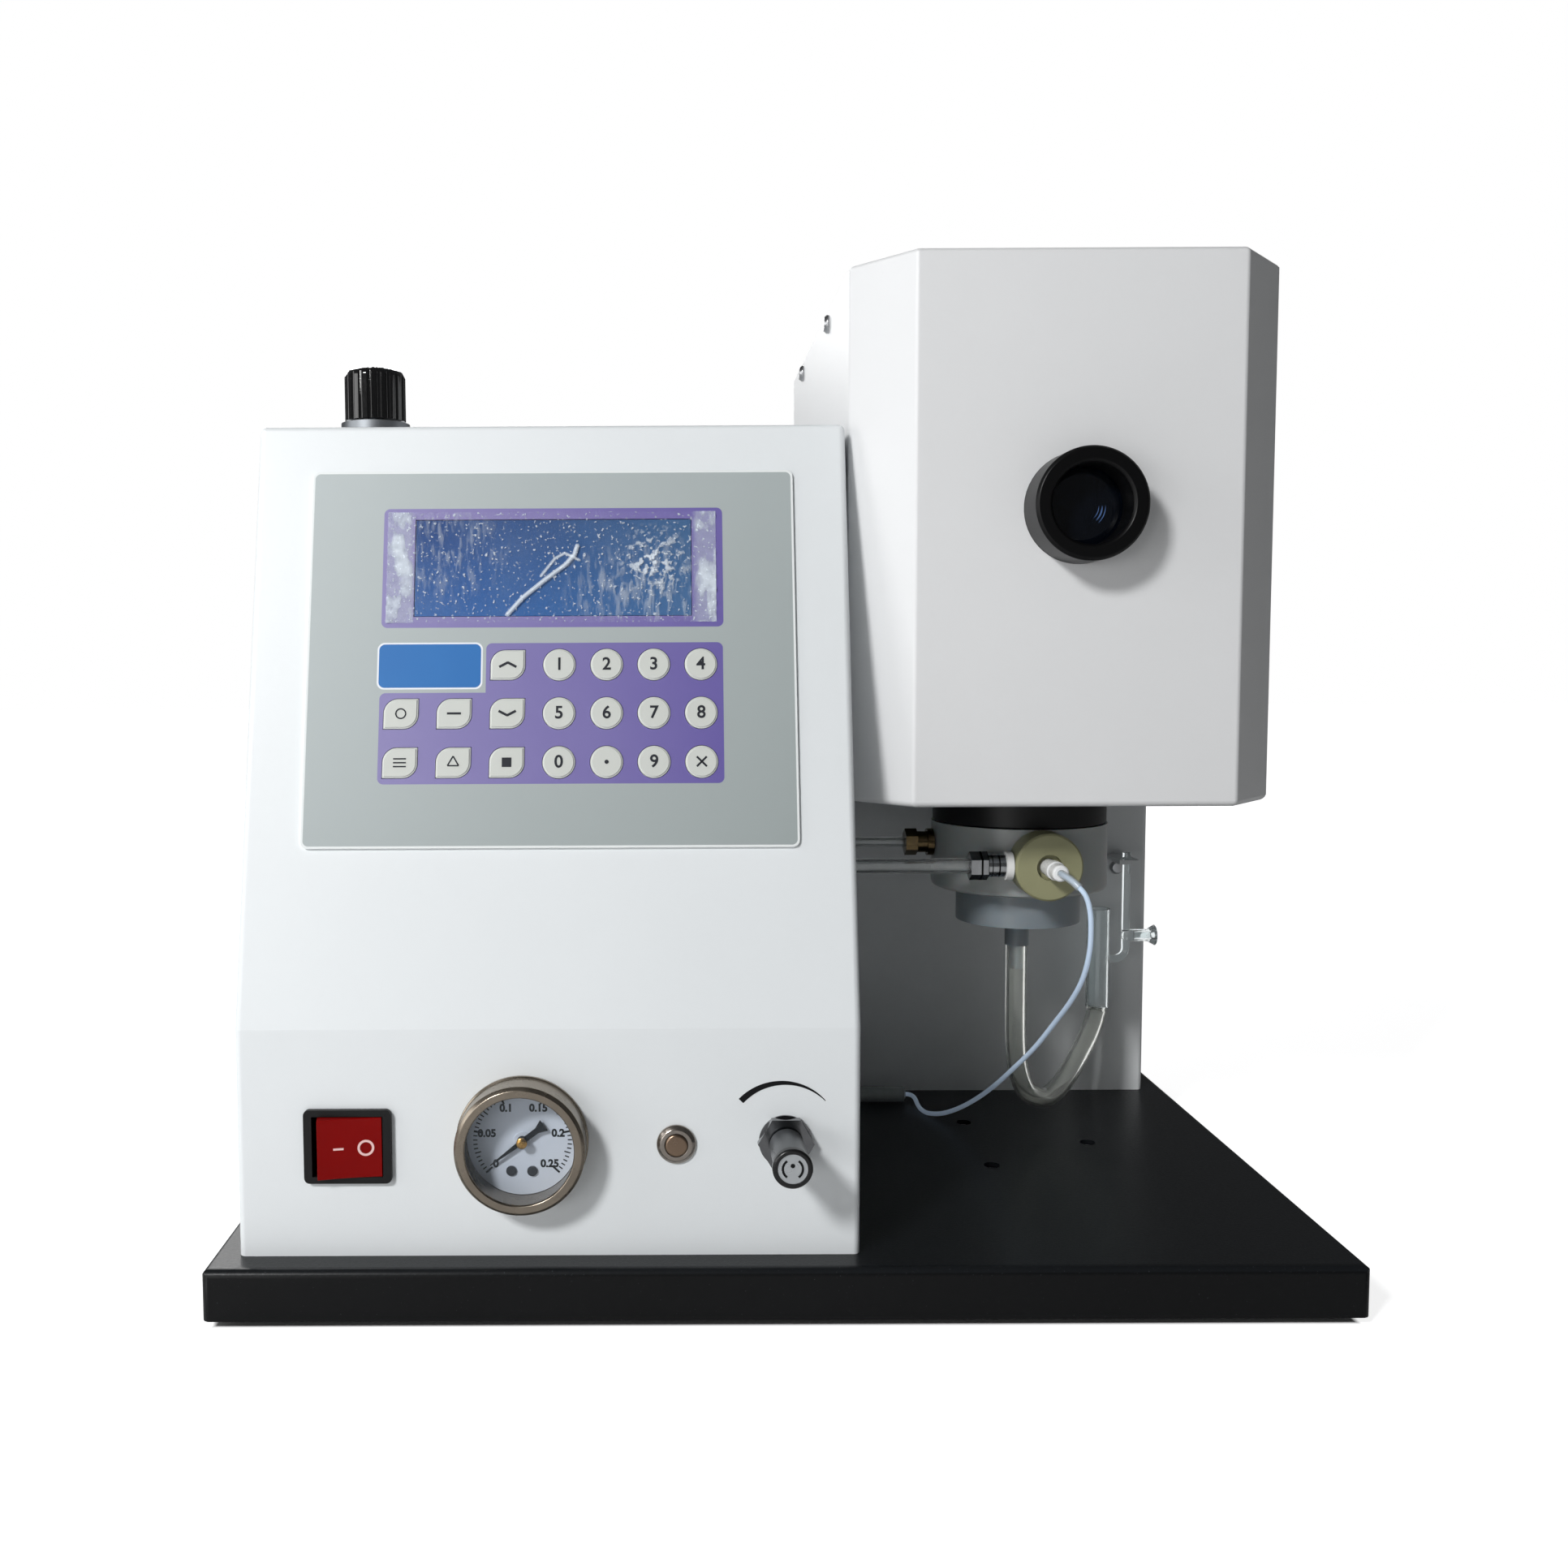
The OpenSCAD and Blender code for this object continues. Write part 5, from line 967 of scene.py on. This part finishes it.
def along_stroke(places, width):
    """Mask of a soft stroke through places of the sheet, in millimetres."""
    nearest = None
    for (xa, sa), (xb, sb) in zip(places, places[1:]):
        ax, as_ = xa * MM, sa * MM
        dx, ds = (xb - xa) * MM, (sb - sa) * MM
        share = (((film_x - ax) * dx + (film_s - as_) * ds) / (dx * dx + ds * ds)).clamped()
        away = ((film_x - (share * dx + ax)) ** 2.0 + (film_s - (share * ds + as_)) ** 2.0).root()
        nearest = away if nearest is None else nearest.below(away)
    return (1.0 - nearest / (width * MM)).clamped()


def round_patch(x, s, radius):
    """Mask that falls off round a place of the sheet, in millimetres."""
    away = ((film_x - x * MM) ** 2.0 + (film_s - s * MM) ** 2.0).root()
    return (1.0 - away / (radius * MM)).clamped()


specks = ((film_finish.noise(900.0, 2.0) - 0.63) * 14.0).clamped()
scuffs = ((film_finish.noise(420.0, 4.0) - 0.52) * 9.0).clamped()
rubs = ((film_finish.noise(520.0, 3.0, (1.0, 0.25, 0.25)) - 0.5) * 6.0).clamped()
haze = film_finish.noise(60.0, 3.0)
film_side = ((abs(film_x + 0.0806) - 0.0503) * 420.0).clamped()
side_folds = ((film_finish.noise(150.0, 3.0, (1.0, 0.45, 0.45)) - 0.47) * 7.0).clamped()
# Painted highlight: the creases show as a pale streak in the film's opacity, for the light on the folds.
crease = along_stroke(CREASE, 1.0)
second = along_stroke(SECOND_CREASE, 0.7) * 0.6
scuffs_and_knurl_shade = round_patch(-44.0, 167.5, 15.0) * scuffs * 0.9 + round_patch(-40.0, 158.0, 22.0) * rubs * 0.3
grazed = round_patch(-118.0, 172.0, 24.0) * rubs * 0.2 + round_patch(-62.0, 158.0, 18.0) * rubs * 0.2
film_alpha = specks * 0.5 + scuffs_and_knurl_shade + grazed + haze * 0.03 + crease * 0.85 + second
film_finish.set("Alpha", (film_alpha + film_side * (side_folds * 0.55 + 0.16)).clamped())
film_finish.set("Roughness", haze * 0.2 + 0.24)
film = settle(film, "protective_film", "frame", film_finish, on_slope(0.0, 0.0), 60.0)
print("film", len(film.data.polygons), "faces")

# %% [markdown]
# ## The rocker switch
# A red rocker in a black bezel. It is pressed in at its right end. The dash and the ring on it are
# the usual marks for on and off, so they are made as pale ink that turns with the rocker.

# %% Rocker
red = moulded("red_rocker", "#800504", 0.22, 0.8, 0.00001, 0.14, Specular_IOR_Level=0.12)
pale_ink = moulded("rocker_ink", "#f3c9c6", 0.4)
refined("switch_body", black_plastic, 0.35)
refined("switch_rocker", red, 0.5, segments=3)
SWITCH = (-151.0 * MM, 60.5 * MM)
ROCKER_HINGE = -3.0 * MM
ROCKER_FACE = 6.5 * MM
ROCKER_SWING = math.radians(10)
RING_TILT = math.radians(-3.2)
rocker_place = (on_front(*SWITCH) @ Matrix.Translation((0, 0, ROCKER_HINGE))
                @ Matrix.Rotation(ROCKER_SWING, 4, "Y") @ Matrix.Translation((0, 0, ROCKER_FACE)))
dash = bar(3.7 * MM, 0.75 * MM)
settle(dash, "rocker_on_mark", "power_rocker", pale_ink,
       rocker_place @ Matrix.Translation((-3.9 * MM, 0, 0.06 * MM)))
off_ring = ring_mark(2.85 * MM, 0.8 * MM)
settle(off_ring, "rocker_off_mark", "power_rocker", pale_ink,
       rocker_place @ Matrix.Translation((5.5 * MM, 0, 0.2 * MM)) @ Matrix.Rotation(RING_TILT, 4, "Y"))

# %% [markdown]
# ## The pressure gauge
# A turned steel ring, a glass, a pale dial with black divisions, and a black pointer on a brass
# hub. The divisions repeat, so one loop sets them round the spindle. The numbers are the plain
# ones of such a scale.

# %% Gauge body
ring_steel = turned_metal("gauge_ring", "#93897c", 0.26, (1.0, 1.0, 1.0), 60.0, 0.3)
gauge_glass = clear_plastic("gauge_glass", "#b9c6d2", 0.04, 0.025, 1.45)
dial_finish = moulded("dial_sheet", "#c6cfdc", 0.5, 0.7, 0.00001, 0.03, Specular_IOR_Level=0.25)
black_ink = moulded("black_ink", "#0e0f11", 0.55, variation=0.15, Specular_IOR_Level=0.2)
brass = turned_metal("hub_brass", "#b08a4a", 0.25)
refined("gauge_case", ring_steel, 0.3)
refined("gauge_glass", gauge_glass)
dial_x, _, dial_z = dial_finish.place()
dial_screws = 0.0
for x, z in [(-94.5, 51.2), (-87.2, 51.1)]:
    away = ((dial_x - x * MM) ** 2.0 + (dial_z - z * MM) ** 2.0).root()
    dial_screws = ((1.85 * MM - away) * 12000.0).clamped() + dial_screws
screw_dark = hex_colour("#2a2c30")
dial_finish.set("Base Color", dial_finish.mix(dial_finish.base(), screw_dark, dial_screws.clamped()))
refined("gauge_dial", dial_finish, 0.1)
refined("gauge_pointer", black_ink, 0.08)

# %% Dial print
GAUGE = (-90.5 * MM, 62.0 * MM)
DIAL_FACE = -0.4 * MM
SCALE_ZERO = 222.0
SCALE_SWEEP = 264.0
SCALE_DIVISIONS = 50
TICK_RADIUS = 17.2
NUMBER_RADIUS = 12.6
divisions = []
for i in range(SCALE_DIVISIONS + 1):
    angle = math.radians(SCALE_ZERO - SCALE_SWEEP * i / SCALE_DIVISIONS)
    long = i % 10 == 0
    half = i % 5 == 0
    length = 3.0 if long else 2.2 if half else 1.5
    r = TICK_RADIUS - length / 2
    divisions.append(bar(length * MM, (0.7 if long else 0.42) * MM,
                         r * math.cos(angle) * MM, r * math.sin(angle) * MM, angle))
for i, number in enumerate(["0", "0.05", "0.1", "0.15", "0.2", "0.25"]):
    angle = math.radians(SCALE_ZERO - SCALE_SWEEP * i / 5)
    label = lettered(number, 3.7 * MM, 0.045)
    r = NUMBER_RADIUS * MM
    label.data.transform(Matrix.Translation((r * math.cos(angle), r * math.sin(angle), 0.0)))
    divisions.append(label)
dial_place = on_front(*GAUGE) @ Matrix.Translation((0, 0, DIAL_FACE + INK_LIFT))
settle(joined(divisions), "dial_print", "frame", black_ink, dial_place)

# %% Pointer hub
def turned_piece(profile, steps=48):
    """A closed turned piece: a line of points (radius, height) spun about Z."""
    clear_selection()
    bpy.ops.mesh.primitive_plane_add(size=1.0)
    piece = bpy.context.object
    bpy.ops.object.mode_set(mode="EDIT")
    bpy.ops.mesh.select_all(action="SELECT")
    bpy.ops.mesh.merge(type="CENTER")
    bpy.ops.transform.translate(value=(profile[0][0], 0.0, profile[0][1]))
    for (r0, z0), (r1, z1) in zip(profile, profile[1:]):
        bpy.ops.mesh.extrude_region_move(TRANSFORM_OT_translate={"value": (r1 - r0, 0.0, z1 - z0)})
    bpy.ops.mesh.select_all(action="SELECT")
    bpy.ops.mesh.spin(steps=steps, angle=math.tau, center=(0, 0, 0), axis=(0, 0, 1))
    bpy.ops.mesh.select_all(action="SELECT")
    bpy.ops.mesh.remove_doubles(threshold=0.000003)
    bpy.ops.mesh.normals_make_consistent(inside=False)
    bpy.ops.object.mode_set(mode="OBJECT")
    return piece


hub_profile = [(0.0, 0.0), (1.9, 0.0), (1.9, 0.7), (1.5, 1.0), (0.7, 1.1), (0.6, 1.3), (0.0, 1.35)]
hub = turned_piece([(r * MM, z * MM) for r, z in hub_profile])
HUB_SEAT = 2.95 * MM
hub_place = on_front(*GAUGE) @ Matrix.Translation((0, 0, HUB_SEAT))
settle(hub, "pointer_hub", "pointer", brass, hub_place)

# %% [markdown]
# ## Button, valve and regulator
# The ignition button is bronze-tinted steel, the gas valve a plated body with a grey knob whose end
# is a bright disc in a black ring, and the regulator a glossy black fluted knob.

# %% Ignition and valve
bronze = turned_metal("bronze_steel", "#8f7a68", 0.3, (1.0, 1.0, 1.0), 200.0)
bezel_steel = turned_metal("bezel_steel", "#a09890", 0.22, (1.0, 1.0, 1.0), 200.0)
refined("ignition_body", bezel_steel, 0.25)
refined("ignition_button", bronze, 0.3, segments=3)
valve_plate = turned_metal("valve_plate", "#7b7c7e", 0.12, (1.0, 1.0, 1.0), 240.0, 0.22)
refined("valve_body", valve_plate, 0.3)
valve = Finish("valve_knob", hex_colour("#6d7174"), 0.3, 0.6)
valve_x, valve_y, valve_z = valve.place()
knob_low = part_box("valve_knob")[0]
VALVE_AXIS = (0.8 * MM, 61.4 * MM)
DISC_RADIUS = 0.0050
END_DEPTH = 3.1 * MM
from_axis = ((valve_x - VALVE_AXIS[0]) ** 2.0 + (valve_z - VALVE_AXIS[1]) ** 2.0).root()
near_end = ((knob_low.y + END_DEPTH - valve_y) * 8000.0).clamped()
on_disc = ((DISC_RADIUS - from_axis) * 8000.0).clamped() * near_end
# Painted shade and highlight: dark and light stripes along the knob's axis stand in for knurling.
scuffs_and_knurl_shade = valve.noise(120.0, 3.0, (1.0, 0.2, 1.0))
body_colour = valve.mix(hex_colour("#2f3133"), hex_colour("#6c6f72"), scuffs_and_knurl_shade)
end_colour = valve.mix(hex_colour("#0f0f10"), hex_colour("#bfc3c6"), on_disc)
valve.set("Base Color", valve.mix(body_colour, end_colour, near_end))
valve.set("Metallic", on_disc * 0.6 + (1.0 - near_end) * 0.5)
valve.set("Roughness", scuffs_and_knurl_shade * 0.2 + 0.2)
refined("valve_knob", valve, 0.25)
knob_place = Matrix.Translation((VALVE_AXIS[0], knob_low.y + 0.4 * MM - INK_LIFT, VALVE_AXIS[1]))
knob_end = knob_place @ Matrix.Rotation(math.radians(90), 4, "X")
dot = ring_mark(0.75 * MM, 0.7 * MM, 12)
dot.data.transform(Matrix.Translation((0.0, 1.1 * MM, 0.0)))
arcs = [arc_strip(3.3, start, end, 0.75, 0.75, 20) for start, end in [(235, 125), (55, -55)]]
marks = joined([dot, *arcs])
settle(marks, "valve_marks", "gas_knob", black_ink, knob_end)

# %% Regulator
gloss_black = moulded("gloss_black", "#0c0c0d", 0.14, 1.5, 0.00001, 0.1,
                      Coat_Weight=0.5, Coat_Roughness=0.06)
alloy = turned_metal("cast_alloy", "#8e9296", 0.45, (1.0, 1.0, 1.0), 90.0)
refined("regulator_knob", gloss_black, 0.3)
refined("regulator_body", alloy, 0.5)

# %% [markdown]
# ## The arc over the valve
# A black arc that thins towards its end shows which way the valve opens. It is one flat strip:
# a row of points on two circles whose distance shrinks along the way.

# %% Valve arc
ARC_CENTRE = (0.0, 62.0)
ARC_RADIUS = 20.0
ARC_FROM, ARC_TO = 137.0, 43.0
ARC_THICK, ARC_THIN = 2.2, 0.25
arc = arc_strip(ARC_RADIUS, ARC_FROM, ARC_TO, ARC_THICK, ARC_THIN)
arc_place = on_front(ARC_CENTRE[0] * MM, ARC_CENTRE[1] * MM) @ Matrix.Translation((0, 0, INK_LIFT))
settle(arc, "valve_arc", "frame", black_ink, arc_place)

# %% [markdown]
# ## What is inside and at the back
# The board, the inlet and the screws show only from behind or through the slots, but each has its
# own finish as well.

# %% Inside and back
board = Finish("circuit_board", hex_colour("#2a6a45"), 0.45)
board_z = board.place()[2]
board_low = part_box("main_board")[0]
TALL_PARTS = 11.8 * MM
tall = ((board_z - (board_low.z + TALL_PARTS)) * 9000.0).clamped()
traces = ((board.noise(240.0, 1.0, (1.0, 0.1, 1.0)) - 0.55) * 30.0).clamped()
green = board.mix(hex_colour("#24603d"), hex_colour("#3f8a5b"), traces)
board.set("Base Color", board.mix(green, hex_colour("#2b2c30"), tall))
refined("main_board", board, 0.2)
refined("mains_inlet", black_plastic, 0.3)
refined("case_screws", screw_steel, 0.15)

# %% [markdown]
# ## Floor finish
# The floor is a pale matt sheet. What the camera sees of it glows, so that it comes out white and
# only the instrument's own shadow stays on it. The glow grows with distance, so that the sheet's
# far edge can't be told from the white behind, and stops under the tray, so that the tray's holes
# are dark. It lights nothing else.

# %% Floor
GLOW_START = 0.55
GLOW_REACH = 0.8
UNDER_TRAY = (0.196, 0.146)
UNDER_TRAY_EDGE = 0.002

paper = Finish("floor_paper", (0.75, 0.75, 0.75), 0.9, Emission_Strength=1.0, Specular_IOR_Level=0.1)
paper_grain = paper.noise(40.0, 2.0)
paper.set("Base Color", paper.mix((0.73, 0.73, 0.73), (0.77, 0.77, 0.77), paper_grain))
paper_rays = paper.node("ShaderNodeLightPath")
paper_seen = Channel(paper.tree, paper_rays.outputs["Is Camera Ray"]).above(
    Channel(paper.tree, paper_rays.outputs["Is Transmission Ray"]))
paper_x, paper_y, _ = paper.place()
paper_away = (((paper_x ** 2.0 + paper_y ** 2.0).root() - GLOW_START) / GLOW_REACH).clamped()
paper_glow = paper.mix((FLOOR_GLOW, FLOOR_GLOW, FLOOR_GLOW), (1.0, 1.0, 1.0), paper_away)
paper_beyond_x = ((abs(paper_x) - UNDER_TRAY[0]) / UNDER_TRAY_EDGE).clamped()
paper_beyond_y = ((abs(paper_y) - UNDER_TRAY[1]) / UNDER_TRAY_EDGE).clamped()
paper_beside = paper_beyond_x.above(paper_beyond_y)
paper.set("Emission Color", paper.mix((0.0, 0.0, 0.0), paper_glow, paper_seen * paper_beside))
floor.data.materials.append(paper.material)
